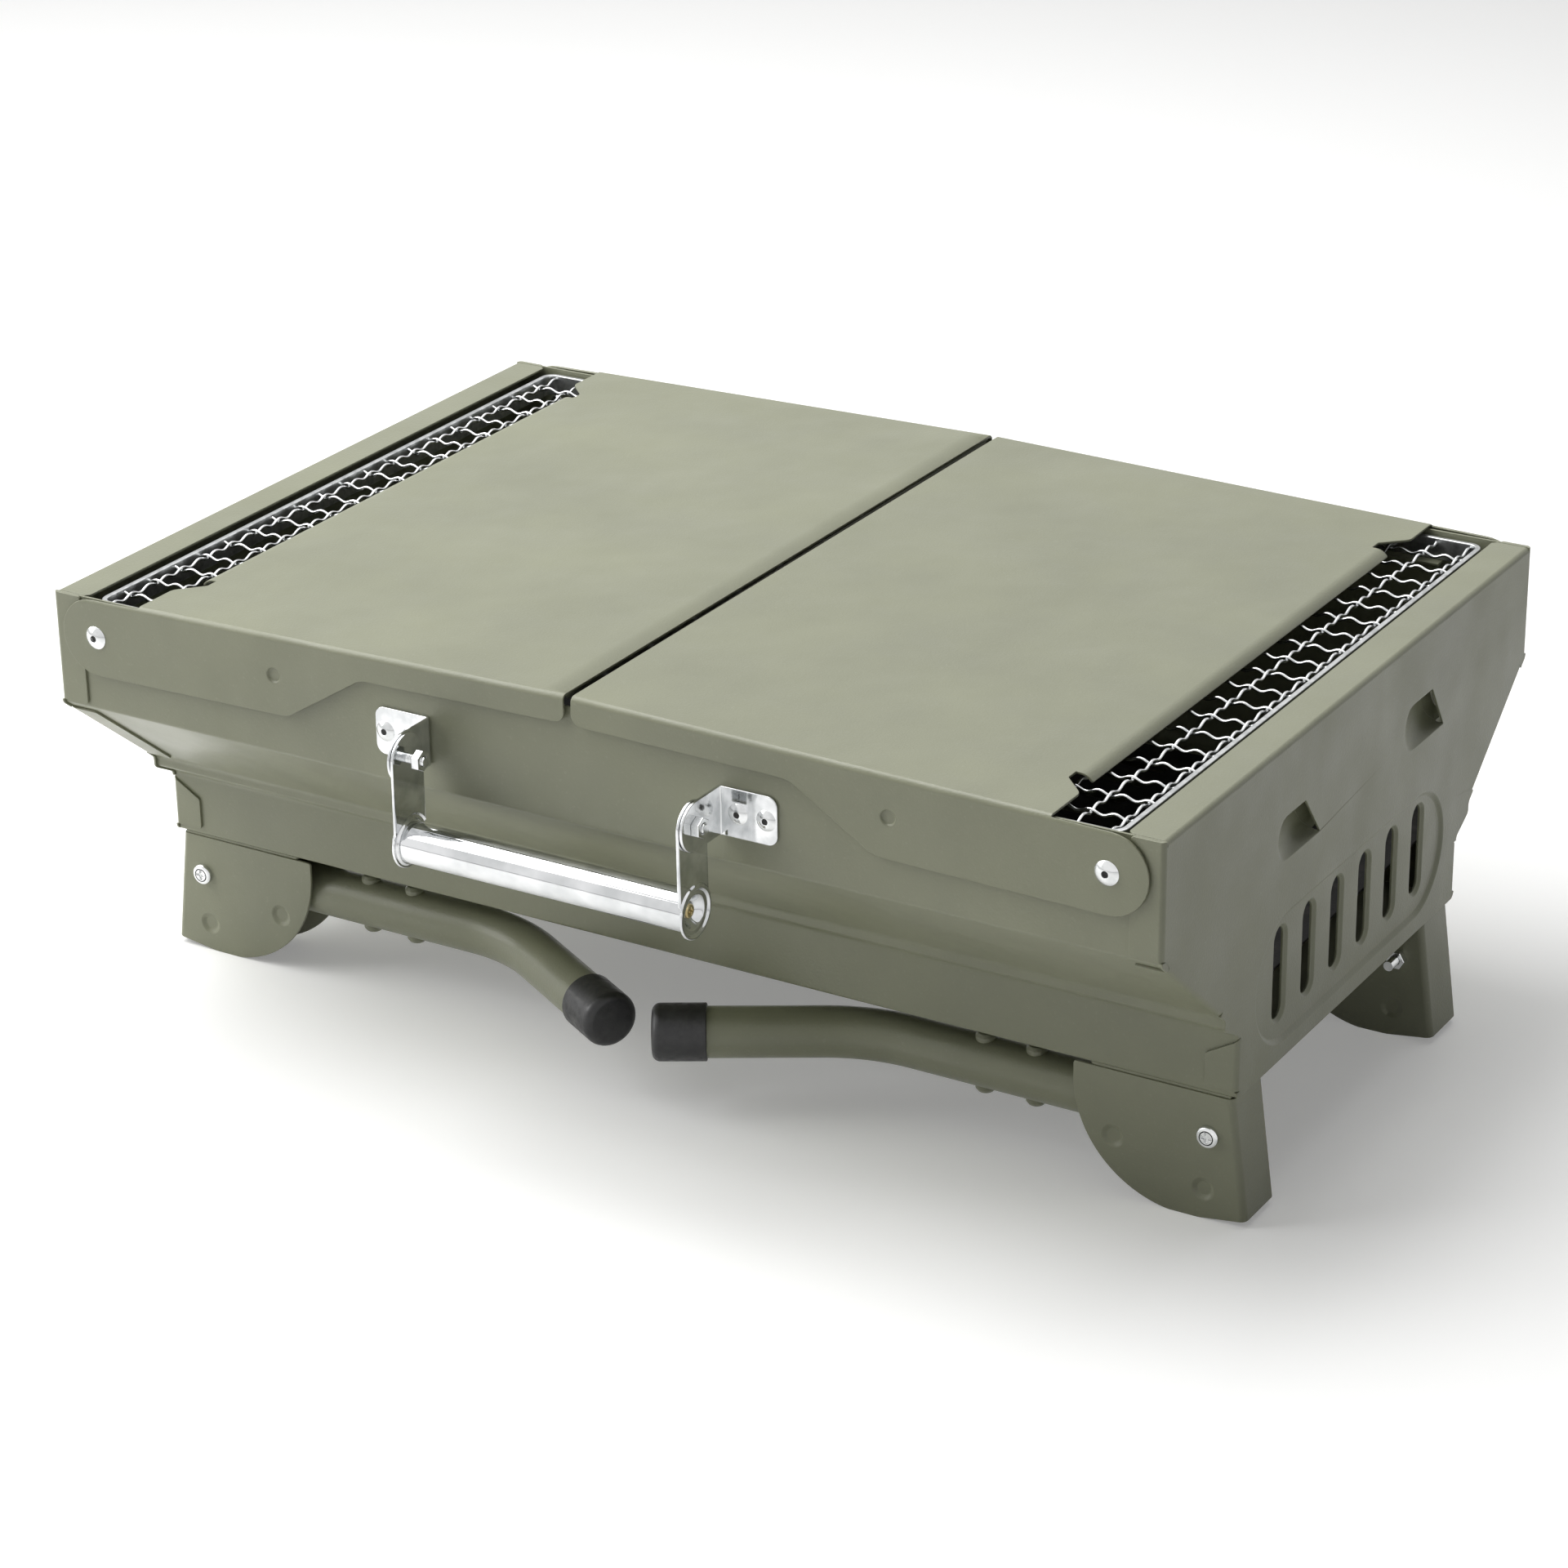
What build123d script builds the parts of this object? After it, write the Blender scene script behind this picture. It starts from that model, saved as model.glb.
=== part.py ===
"""Folding charcoal grill: a sheet steel trough with two hinged lids, four folding legs and a carry handle.

Millimetres, +Z up, +X to the right, the front with the handle towards -Y. Everything is drawn about
the middle of the body with the floor at z = 0, and export moves it so that the origin is the middle
of the bottom of the whole grill's box.
"""

import os
from math import asin, atan2, cos, degrees, radians, sin, sqrt, tan

from build123d import *

# Stock
SHEET = 1.0  # body and lid sheet
STRAP = 1.2  # leg channels, handle brackets and arms
FIT = 0.05  # radial clearance of a running fit
SEAT = 0.3  # clearance between pieces that pass each other

# Body trough, outside
BODY_WIDTH = 480.0
BODY_DEPTH = 321.0
STEP_DEPTH = 217.6
BASE_DEPTH = 195.5
BODY_LIFT = 52.5  # floor to the underside of the trough
BASE_HEIGHT = 26.1
LEDGE_RISE = 6.1  # the ledge for the grate climbs this much outwards
STEP_HEIGHT = 4.4
SLOPE_HEIGHT = 43.0
BAND_HEIGHT = 46.8
BEND = 3.0  # outside radius of the trough's bends
LEDGE_BEND = 2.6  # outside radius at the grate ledge

# Folded tabs and top flange of the end panels
TAB_WIDTH = 13.0
TAB_GAP = 3.5  # relief between two tabs of one corner
TOE_TAB_TOP = 25.5  # height of the lowest tab at the corner
TOE_TAB_SLANT = 8.6  # how much lower its inner end is
RIM_FLANGE = 15.4
RIM_CHAMFER = 9.0

# Air slots, pressed field and vents in the end panels
SLOT_COUNT = 6
SLOT_PITCH = 24.5
SLOT_WIDTH = 9.0
SLOT_LENGTH = 36.7
SLOT_RISE = 34.8  # bottom of the trough to the slots' middle
SLOT_LIP = 1.2
FIELD_WIDTH = 168.6
FIELD_HEIGHT = 53.0
FIELD_RISE = 33.0
FIELD_DEPTH = 1.3
VENT_HINGES = (-69.4, 41.4)  # edges that the vents' flaps turn in on, in y
VENT_FOOT = 36.3  # hinge to the lower corner of the free edge
VENT_TOP = 23.4  # hinge to its upper corner
VENT_HEIGHT = 18.1
VENT_RISE = 1.4  # lower edge of the band to the vents' foot
VENT_ROUND = 1.0
VENT_ANGLE = 14.0
VENT_CUT = 0.6  # width of the cut round a flap

# Charcoal grate
GRATE_END_GAP = 5.0
GRATE_SIDE_GAP = 1.5
GRATE_SLOT_LENGTH = 40.0
GRATE_SLOT_WIDTH = 6.0
GRATE_COLUMNS = 9
GRATE_ROWS = 11
GRATE_PITCH_X = 50.0
GRATE_PITCH_Y = 17.0

# Cooking net
NET_END_GAP = 17.0  # inside of an end panel to the net's bar
NET_SIDE_GAP = 1.5
NET_BAR = 2.2
NET_BAR_HEIGHT = 9.0
NET_CORNER = 12.0
NET_SUNK = 1.6  # rim of the trough to the top of the bar
NET_WIRE = 1.4
NET_MESH_DROP = 2.0  # top of the bar to the middle of the mesh
LONG_WIRE_PITCH = 15.75
CROSS_WIRE_PITCH = 14.43
WIRE_GAP = 0.06  # between the two layers of wires
RAIL_END_GAP = 14.0  # end of a rail to the lids' pivots
RAIL_SHELF = 8.0
RAIL_DROP = 11.0

# Lids
LID_PIVOT_INSET = 21.0  # end panel to the pivot
LID_PIVOT_DROP = 15.0  # rim of the trough to the pivot
LID_TILT = 1.05  # degrees, inner end up
LID_TOP = 16.3  # pivot to the plate's top
LID_SIDE_GAP = 0.5  # end tab to the lid's flange
LID_BEND = 2.4
LID_EAR = 16.0
LID_EDGE = 22.0  # pivot to the corner tabs of the plate
LID_NOTCH = 31.5  # pivot to the plate's edge beside the lip
LIP_START = 29.0  # pivot to the corner that the lip turns down at
LIP_INSET = 36.0  # inside of a lid's flange to the end of the lip
SHOULDER_INSET = 30.4
CORNER_TAB_WIDTH = 20.8
NOTCH_ROUND = 1.0
CORNER_TAB_ROUND = 5.0
LIP_ANGLE = 27.0
LIP_BEND = 4.0
LIP_GAP = 0.5  # lip to the net below it
SEAM = 2.6
SKIRT_LENGTH = 91.0  # pivot to the end of the deep part of the flange
SKIRT_SLOPE = 0.6  # rise of the slant per run
SKIRT_TAIL = 11.2  # depth of the shallow part
SKIRT_ROUND = 10.0
TAIL_ROUND = 4.5
CUT_ROUND = 0.4  # sheared corners of a flange
DIMPLE_REACH = 85.6
DIMPLE_RADIUS = 2.85
DIMPLE_DEPTH = 0.8
LID_ROLL = 10.0  # length of the left lid's rolled inner edge
LID_ROLL_DROP = 3.0

# Rivets and screws
PIVOT_RIVET = 4.8
PIVOT_RIVET_HEAD = 9.5
PIVOT_RIVET_RISE = 1.7
RIVET_TAIL = 2.2
SMALL_RIVET = 4.0
SMALL_RIVET_HEAD = 8.2
SMALL_RIVET_RISE = 1.4
MANDREL = 2.2  # hole left in the head of a blind rivet
SCREW = 4.0
LEG_BOLT_HEAD = 8.8
LEG_BOLT_RISE = 2.4
NUT_FLATS = 7.0
NUT_THICKNESS = 3.2
THREAD_END = 6.0  # thread showing past a leg's nut
HANDLE_NUT_FLATS = 6.5
HANDLE_NUT_GAP = 3.9  # bare thread between the left arm of the handle and its nut
HANDLE_THREAD_END = 0.8
HANDLE_BOLT_HEAD = 7.0
HANDLE_BOLT_RISE = 0.9
GRIP_SCREW = 3.0
GRIP_SCREW_HEAD = 5.6
GRIP_SCREW_RISE = 1.8
GRIP_RECESS = 3.2
RECESS = 4.6  # span of the cross in a screw head
RECESS_WIDTH = 0.9
RECESS_DEPTH = 1.2

# Leg channels
CHANNEL_WIDTH = 24.5
CHANNEL_INSET = 1.5  # side of the trough's bottom to a channel's cheek
CHANNEL_ROUND = 45.6
CHANNEL_ROUND_INSET = 21.0  # end of the body to the middle of the round
CHANNEL_FLAT_RISE = 0.4  # how much of the round is pressed flat to stand on
CHANNEL_LEAN = 7.5
CHANNEL_TOE = 8.0  # rise of the bottom edge towards the outside, degrees
CHANNEL_TOP_INSET = 2.1
CHANNEL_BEND = 2.6
CHANNEL_TOP_GAP = 1.2
CHANNEL_PLATE = 60.0  # end of the body to the inner end of a channel's top plate
CHANNEL_RIVET_INSETS = (48.0, 18.0)
DETENTS = ((50.0, 24.3), (13.0, 12.2))  # end of the body to each press mark, and its height
DETENT_RADIUS = 4.3
DETENT_DEPTH = 0.8

# Legs
LEG_TUBE = 20.0
LEG_WALL = 1.2
LEG_PIVOT_Z = 34.5
LEG_CORNER_INSET = 158.4  # end of the body to where the two straight runs would meet
LEG_BEND = 70.0
LEG_ANGLE = 30.0
LEG_TIP_X = 9.0  # middle of the grill to the tip of a folded leg's cap
CAP_LENGTH = 21.0
CAP_WALL = 1.2
CAP_END = 2.6
LEG_RIVET_INSETS = (109.5, 88.0)
LEG_RIVET = 4.8
LEG_RIVET_HEAD = 8.0
LEG_RIVET_RISE = 2.3
SLEEVE_LENGTH = 52.0
SLEEVE_WALL = 1.2

# Carry handle
HANDLE_FOLD_X = 62.7  # inner face of each bracket's ear
BRACKET_PLATE = 24.8
BRACKET_HEIGHT = 19.2
BRACKET_DROP = 26.25  # rim of the trough to the brackets' middle
BRACKET_CORNER = 4.0
BRACKET_RIVETS = (8.5, 20.3)  # fold to each rivet
HANDLE_REACH = 17.5  # outside of the front wall to the pivot
HANDLE_DROP = 34.0
ARM_GAP = 0.3
CUP_DIAMETER = 20.3
CUP_DISH = 11.5
CUP_DEPTH = 3.2
CUP_RIM = 1.2  # width of the rim that stands up round a cup
CUP_RIM_RISE = 0.9
HANDLE_TUBE = 16.0
HANDLE_TUBE_WALL = 1.0
PLUG_LENGTH = 14.0
HANDLE_SCREW_LENGTH = 12.0

# Levels and reaches that follow from the sizes above
LEDGE_Z = BODY_LIFT + BASE_HEIGHT
STEP_Z = LEDGE_Z + LEDGE_RISE
SLOPE_Z = STEP_Z + STEP_HEIGHT
BAND_Z = SLOPE_Z + SLOPE_HEIGHT
RIM_Z = BAND_Z + BAND_HEIGHT
SLOT_Z = BODY_LIFT + SLOT_RISE
FIELD_Z = BODY_LIFT + FIELD_RISE
VENT_Z = BAND_Z + VENT_RISE
NET_TOP = RIM_Z - NET_SUNK
LID_PIVOT_Z = RIM_Z - LID_PIVOT_DROP
BRACKET_Z = RIM_Z - BRACKET_DROP
HALF_WIDTH = BODY_WIDTH / 2
INSIDE_X = HALF_WIDTH - SHEET
WALL_Y = BODY_DEPTH / 2 - SHEET
WALL_INSIDE_Y = WALL_Y - SHEET
LID_PIVOT_X = HALF_WIDTH - LID_PIVOT_INSET
LID_FLANGE_Y = BODY_DEPTH / 2 + LID_SIDE_GAP
LID_OUTER_Y = LID_FLANGE_Y + SHEET
CHANNEL_OUTER_Y = BASE_DEPTH / 2 - CHANNEL_INSET
CHANNEL_ROUND_X = HALF_WIDTH - CHANNEL_ROUND_INSET
CHANNEL_TOP_X = HALF_WIDTH - CHANNEL_TOP_INSET
CHANNEL_RIVETS = [HALF_WIDTH - inset for inset in CHANNEL_RIVET_INSETS]
LEG_Y = CHANNEL_OUTER_Y - CHANNEL_WIDTH / 2
WEB_OFFSET = STRAP + SEAT + LEG_TUBE / 2
LEG_PIVOT_X = (
    CHANNEL_TOP_X
    + (BODY_LIFT - LEG_PIVOT_Z) * tan(radians(CHANNEL_LEAN))
    - WEB_OFFSET / cos(radians(CHANNEL_LEAN))
)
LEG_CORNER_X = HALF_WIDTH - LEG_CORNER_INSET
LEG_TOE = (LEG_CORNER_X - LEG_TIP_X) / cos(radians(LEG_ANGLE))
LEG_RIVETS = [HALF_WIDTH - inset for inset in LEG_RIVET_INSETS]
HANDLE_Y = -(WALL_Y + HANDLE_REACH)
ARM_X = HANDLE_FOLD_X - ARM_GAP - STRAP
CUP_BACK_X = ARM_X - CUP_DEPTH
NET_WIDTH = 2 * (INSIDE_X - NET_END_GAP)
NET_DEPTH = 2 * (WALL_INSIDE_Y - NET_SIDE_GAP)
MESH_Z = NET_TOP - NET_MESH_DROP
LAYER_RISE = (NET_WIRE + WIRE_GAP) / 2
FRONT_REACH = -HANDLE_Y + CUP_DIAMETER / 2
REAR_REACH = LID_OUTER_Y + SEAT / 2 + PIVOT_RIVET_RISE
ORIGIN_SHIFT = Pos(0, (FRONT_REACH - REAR_REACH) / 2, 0)


# Placing sketches and copies


def along_x(sketch, start, end):
    """Extrudes a sketch drawn in (y, z) from x = start to x = end."""
    return extrude(Plane.YZ.offset(start) * sketch, end - start)


def along_y(sketch, start, end):
    """Extrudes a sketch drawn in (x, z) from y = start to y = end."""
    return extrude(Plane.XZ.offset(-end) * sketch, end - start)


def along_z(sketch, start, end):
    """Extrudes a sketch drawn in (x, y) from z = start to z = end."""
    return extrude(Plane.XY.offset(start) * sketch, end - start)


def block(low, high):
    """A box between two corners."""
    size = [high[axis] - low[axis] for axis in range(3)]
    return Pos(*low) * Box(*size, align=(Align.MIN, Align.MIN, Align.MIN))


def on_side(shape, side_x, side_y=1):
    """Copies a shape made at the right rear to one of the four corners."""
    if side_x < 0:
        shape = mirror(shape, Plane.YZ)
    if side_y < 0:
        shape = mirror(shape, Plane.XZ)
    return shape


def outline_face(points, radii):
    """A closed outline whose corners are rounded, one radius each."""
    return make_face(FilletPolyline(*points, radius=radii, close=True))


# Fasteners, each drawn along +Z with the joint's outer face at z = 0


def dome(radius, rise):
    """A low round head, flat below and domed above."""
    ball = (radius**2 + rise**2) / (2 * rise)
    cap = Pos(0, 0, rise - ball) * Sphere(ball)
    return cap & Pos(0, 0, rise / 2) * Cylinder(radius + SEAT, rise)


def blind_rivet(diameter, head, rise, grip, tail):
    """A pulled rivet: a domed head with a hollow middle, a shank and a swelled tail."""
    body = dome(head / 2, rise)
    body += Pos(0, 0, -grip / 2) * Cylinder(diameter / 2, grip)
    body += Pos(0, 0, -grip - tail / 2) * Cylinder(diameter / 2 + 0.7, tail)
    hollow = Pos(0, 0, rise) * Cylinder(MANDREL / 2, 2 * rise)
    return body - hollow


def pan_screw(diameter, head, rise, recess, length):
    """A cross-recessed pan head screw with its shank below z = 0."""
    screw = Pos(0, 0, rise / 2) * Cylinder(head / 2, rise)
    screw = fillet(screw.edges().sort_by(Axis.Z)[-1], rise * 0.6)
    arm = Box(recess, RECESS_WIDTH, RECESS_DEPTH)
    cross = arm + Rot(0, 0, 90) * arm
    screw -= Pos(0, 0, rise - RECESS_DEPTH / 2) * cross
    return screw + Pos(0, 0, -length / 2) * Cylinder(diameter / 2, length)


def hex_nut(flats):
    """A nut that fills z = 0 to its thickness, bored for the screw."""
    outline = RegularPolygon(flats / 2, 6, major_radius=False)
    bore = Circle(SCREW / 2 + FIT)
    return extrude(outline - bore, NUT_THICKNESS)


# Body


def ledge_angle():
    """How steeply the ledge for the grate climbs, in radians."""
    return atan2(LEDGE_RISE, (STEP_DEPTH - BASE_DEPTH) / 2)


def trough_face(inset, floor):
    """The trough's cross section, moved in by inset at its sides and closed above the rim."""
    slope = atan2(SLOPE_HEIGHT, (BODY_DEPTH - STEP_DEPTH) / 2)
    rise = inset * tan((radians(90) - slope) / 2)
    band = BODY_DEPTH / 2 - inset
    step = STEP_DEPTH / 2 - inset
    base = BASE_DEPTH / 2 - inset
    ledge_rise = inset * tan((radians(90) - ledge_angle()) / 2)
    half = [
        (band, RIM_Z + BAND_HEIGHT),
        (band, BAND_Z + rise),
        (step, SLOPE_Z + rise),
        (step, STEP_Z + ledge_rise),
        (base, LEDGE_Z + ledge_rise),
        (base, floor),
    ]
    convex = BEND - inset
    radii = [convex, convex, BEND + inset, LEDGE_BEND - inset, LEDGE_BEND + inset, LEDGE_BEND - inset]
    other = [(-y, z) for y, z in reversed(half)]
    face = outline_face(half + other, radii + radii[::-1])
    return face & Pos(0, RIM_Z / 2) * Rectangle(2 * BODY_DEPTH, RIM_Z)


def body_shell():
    """The folded trough sheet that makes the front, the slopes, the ledges and the bottom."""
    outer = trough_face(SHEET, BODY_LIFT)
    inner = trough_face(2 * SHEET, BODY_LIFT + SHEET)
    shell = along_x(outer - inner, -INSIDE_X, INSIDE_X)
    for side_x in (-1, 1):
        for side_y in (-1, 1):
            shell -= on_side(lid_pivot_hole(), side_x, side_y)
            shell -= on_side(channel_rivet_holes(), side_x, side_y)
        shell -= on_side(bracket_rivet_holes(), side_x)
    return shell


def lid_pivot_hole():
    """The bore for a lid's pivot rivet through the wall, at the right rear."""
    return along_y(Pos(LID_PIVOT_X, LID_PIVOT_Z) * Circle(PIVOT_RIVET / 2), 0, BODY_DEPTH)


def channel_rivet_holes():
    """The bores through the bottom for one leg channel's rivets, at the right rear."""
    holes = Sketch() + [Pos(x, LEG_Y) * Circle(SMALL_RIVET / 2) for x in CHANNEL_RIVETS]
    return along_z(holes, 0, LEDGE_Z)


def bracket_rivet_holes():
    """The bores through the front wall for the right handle bracket's rivets."""
    spots = [HANDLE_FOLD_X + reach for reach in BRACKET_RIVETS]
    holes = Sketch() + [Pos(x, BRACKET_Z) * Circle(SMALL_RIVET / 2) for x in spots]
    return along_y(holes, -BODY_DEPTH, 0)


def vent_outline():
    """A vent's window in (y, z) from its hinged edge: level foot and top, and a slanted free edge."""
    points = [(0, 0), (VENT_FOOT, 0), (VENT_TOP, VENT_HEIGHT), (0, VENT_HEIGHT)]
    return outline_face(points, [VENT_ROUND] * len(points))


def end_panel():
    """The right end panel with its tabs, top flange, pressed field, air slots and vents."""
    outline = trough_face(0, BODY_LIFT)
    panel = along_x(outline, INSIDE_X, HALF_WIDTH)
    panel += end_tabs(outline)
    flange = Rectangle(RIM_FLANGE, 2 * WALL_INSIDE_Y - 2 * SEAT)
    inner = flange.vertices().group_by(Axis.X)[0]
    flange = chamfer(inner, RIM_CHAMFER)
    panel += along_z(Pos(HALF_WIDTH - RIM_FLANGE / 2, 0) * flange, RIM_Z - SHEET, RIM_Z)
    field = Pos(0, FIELD_Z) * SlotOverall(FIELD_WIDTH, FIELD_HEIGHT)
    grown = Pos(0, FIELD_Z) * SlotOverall(FIELD_WIDTH + 2 * SHEET, FIELD_HEIGHT + 2 * SHEET)
    floor_x = INSIDE_X - FIELD_DEPTH
    panel += along_x(grown, floor_x, INSIDE_X)
    panel -= along_x(field, floor_x + SHEET, HALF_WIDTH)
    for index in range(SLOT_COUNT):
        spot = Pos((index - (SLOT_COUNT - 1) / 2) * SLOT_PITCH, SLOT_Z)
        lip = spot * SlotOverall(SLOT_LENGTH + 2 * SHEET, SLOT_WIDTH + 2 * SHEET, rotation=90)
        slot = spot * SlotOverall(SLOT_LENGTH, SLOT_WIDTH, rotation=90)
        panel += along_x(lip, floor_x - SLOT_LIP, floor_x)
        panel -= along_x(slot, floor_x - SLOT_LIP, HALF_WIDTH)
    root = Rectangle(2 * VENT_CUT, VENT_HEIGHT - 2 * VENT_ROUND, align=(Align.MIN, Align.CENTER))
    flap = along_x(offset(vent_outline(), -VENT_CUT) + Pos(0, VENT_HEIGHT / 2) * root, -SHEET, 0)
    for hinge in VENT_HINGES:
        panel -= along_x(Pos(hinge, VENT_Z) * vent_outline(), INSIDE_X - SHEET, HALF_WIDTH)
        panel += Pos(HALF_WIDTH, hinge, VENT_Z) * Rot(0, 0, VENT_ANGLE) * flap
    return panel


def end_tabs(outline):
    """The strips of the end panel that fold over the trough's sides, with reliefs at the corners."""
    inner = HALF_WIDTH - TAB_WIDTH
    strip = along_x(outline - trough_face(SHEET, BODY_LIFT), inner, INSIDE_X)
    toe = BODY_LIFT + TOE_TAB_TOP
    spans = [
        (BODY_LIFT + LEDGE_BEND, toe, toe - TOE_TAB_SLANT),
        (SLOPE_Z + TAB_GAP, BAND_Z - TAB_GAP, BAND_Z - TAB_GAP),
        (BAND_Z + TAB_GAP / 2, RIM_Z, RIM_Z),
    ]
    tabs = Part()
    for low, high, inner_high in spans:
        corners = [(inner, low), (INSIDE_X, low), (INSIDE_X, high), (inner, inner_high), (inner, low)]
        tabs += strip & along_y(make_face(Polyline(*corners)), -BODY_DEPTH, BODY_DEPTH)
    return tabs


def charcoal_grate():
    """The slotted plate that lies on the ledges and carries the charcoal over the ash."""
    width = 2 * (INSIDE_X - GRATE_END_GAP)
    edge_y = STEP_DEPTH / 2 - 2 * SHEET - GRATE_SIDE_GAP
    depth = 2 * edge_y
    slots = GridLocations(GRATE_PITCH_X, GRATE_PITCH_Y, GRATE_COLUMNS, GRATE_ROWS)
    plate = Rectangle(width, depth) - [
        spot * SlotOverall(GRATE_SLOT_LENGTH, GRATE_SLOT_WIDTH) for spot in slots
    ]
    climb = (edge_y - BASE_DEPTH / 2) * tan(ledge_angle())
    level = LEDGE_Z + climb + 2 * SHEET / cos(ledge_angle())
    return along_z(plate, level, level + SHEET)


# Cooking net


def net_frame():
    """The flat bar bent round the cooking net."""
    outer = RectangleRounded(NET_WIDTH, NET_DEPTH, NET_CORNER)
    inner = RectangleRounded(NET_WIDTH - 2 * NET_BAR, NET_DEPTH - 2 * NET_BAR, NET_CORNER - NET_BAR)
    return along_z(outer - inner, NET_TOP - NET_BAR_HEIGHT, NET_TOP)


def wire_reach(offset_across, half_across, half_along):
    """How far a wire reaches before it meets the bar, which is round at the corners."""
    corner = NET_CORNER - NET_BAR
    into_corner = abs(offset_across) + NET_WIRE / 2 - (half_across - corner)
    if into_corner <= 0:
        return half_along
    return half_along - corner + sqrt(corner**2 - into_corner**2)


def net_wires(pitch, half_across, half_along, level):
    """A layer of straight wires along x: one in the middle and as many as fit on its two sides."""
    each_side = int((half_across - NET_WIRE) / pitch)
    wires = []
    for index in range(-each_side, each_side + 1):
        across = index * pitch
        reach = wire_reach(across, half_across, half_along)
        circle = Pos(across, level) * Circle(NET_WIRE / 2)
        wires.append(along_x(circle, -reach, reach))
    return wires


def net_long_wires():
    """The wires along the grill."""
    half_x = NET_WIDTH / 2 - NET_BAR
    half_y = NET_DEPTH / 2 - NET_BAR
    return Compound(net_wires(LONG_WIRE_PITCH, half_y, half_x, MESH_Z + LAYER_RISE))


def net_cross_wires():
    """The wires across the grill, under the long ones."""
    half_x = NET_WIDTH / 2 - NET_BAR
    half_y = NET_DEPTH / 2 - NET_BAR
    wires = net_wires(CROSS_WIRE_PITCH, half_x, half_y, MESH_Z - LAYER_RISE)
    return Compound([Rot(0, 0, 90) * wire for wire in wires])


def net_rail():
    """The angle strip inside the rear wall that the net's bar rests on."""
    top = NET_TOP - NET_BAR_HEIGHT
    half = LID_PIVOT_X - RAIL_END_GAP
    shelf = block((-half, WALL_INSIDE_Y - RAIL_SHELF, top - STRAP), (half, WALL_INSIDE_Y, top))
    leg = block((-half, WALL_INSIDE_Y - STRAP, top - RAIL_DROP), (half, WALL_INSIDE_Y, top))
    return shelf + leg


# Lids, drawn with the pivot at the origin and the plate towards -X


def lip_drop():
    """Height that the lip comes down, so that it ends just over the net when the lid is shut."""
    lip_end = LIP_START * sin(radians(LID_TILT))
    net_top = MESH_Z + LAYER_RISE + NET_WIRE / 2
    return LID_PIVOT_Z + LID_TOP + lip_end - net_top - LIP_GAP - SHEET


def lid_side_outline():
    """A lid's flange seen from the front: a round ear, a deep skirt, a slant and a shallow tail."""
    inner_end = LID_PIVOT_X - SEAM / 2
    tail = LID_TOP - SKIRT_TAIL
    slant = (tail + LID_EAR) / SKIRT_SLOPE
    points = [
        (0, LID_TOP),
        (0, -LID_EAR),
        (-SKIRT_LENGTH, -LID_EAR),
        (-SKIRT_LENGTH - slant, tail),
        (-inner_end, tail),
        (-inner_end, LID_TOP),
    ]
    radii = [CUT_ROUND, CUT_ROUND, SKIRT_ROUND, SKIRT_ROUND, TAIL_ROUND, CUT_ROUND]
    skirt = outline_face(points, radii)
    return skirt + Circle(LID_EAR)


def lid_cut():
    """The part of the plate that is cut away at a lid's outer edge, in (x, y)."""
    half = [
        (-LID_NOTCH, 0),
        (-LID_NOTCH, LID_FLANGE_Y - SHOULDER_INSET),
        (-LID_EDGE, LID_FLANGE_Y - CORNER_TAB_WIDTH),
        (-LID_EDGE, LID_FLANGE_Y),
        (LID_EAR + SEAT, LID_FLANGE_Y),
    ]
    edge = FilletPolyline(*half[:4], radius=[NOTCH_ROUND, CORNER_TAB_ROUND])
    rest = Polyline(half[3], half[4], (LID_EAR + SEAT, 0), half[0])
    upper = make_face([*edge.edges(), *rest.edges()])
    return upper + mirror(upper, Plane.XZ)


def lid_lip():
    """The strip bent down at a lid's outer edge, between the corner tabs."""
    angle = radians(LIP_ANGLE)
    length = (lip_drop() + SHEET * (1 - cos(angle))) / sin(angle)
    corner = (-LIP_START, LID_TOP)
    tip = (corner[0] + length * cos(angle), corner[1] - length * sin(angle))
    inner_corner = (corner[0] - SHEET * tan(angle / 2), corner[1] - SHEET)
    back = (tip[0] - SHEET * sin(angle), tip[1] - SHEET * cos(angle))
    root = [(-LID_NOTCH, LID_TOP), (-LID_NOTCH, LID_TOP - SHEET)]
    outer = FilletPolyline(root[0], corner, tip, radius=LIP_BEND)
    inner = FilletPolyline(root[1], inner_corner, back, radius=LIP_BEND - SHEET)
    ends = [Line(tip, back), Line(root[1], root[0])]
    strip = make_face([*outer.edges(), *inner.edges(), *ends])
    half = LID_FLANGE_Y - LIP_INSET
    return along_y(strip, -half, half)


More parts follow.
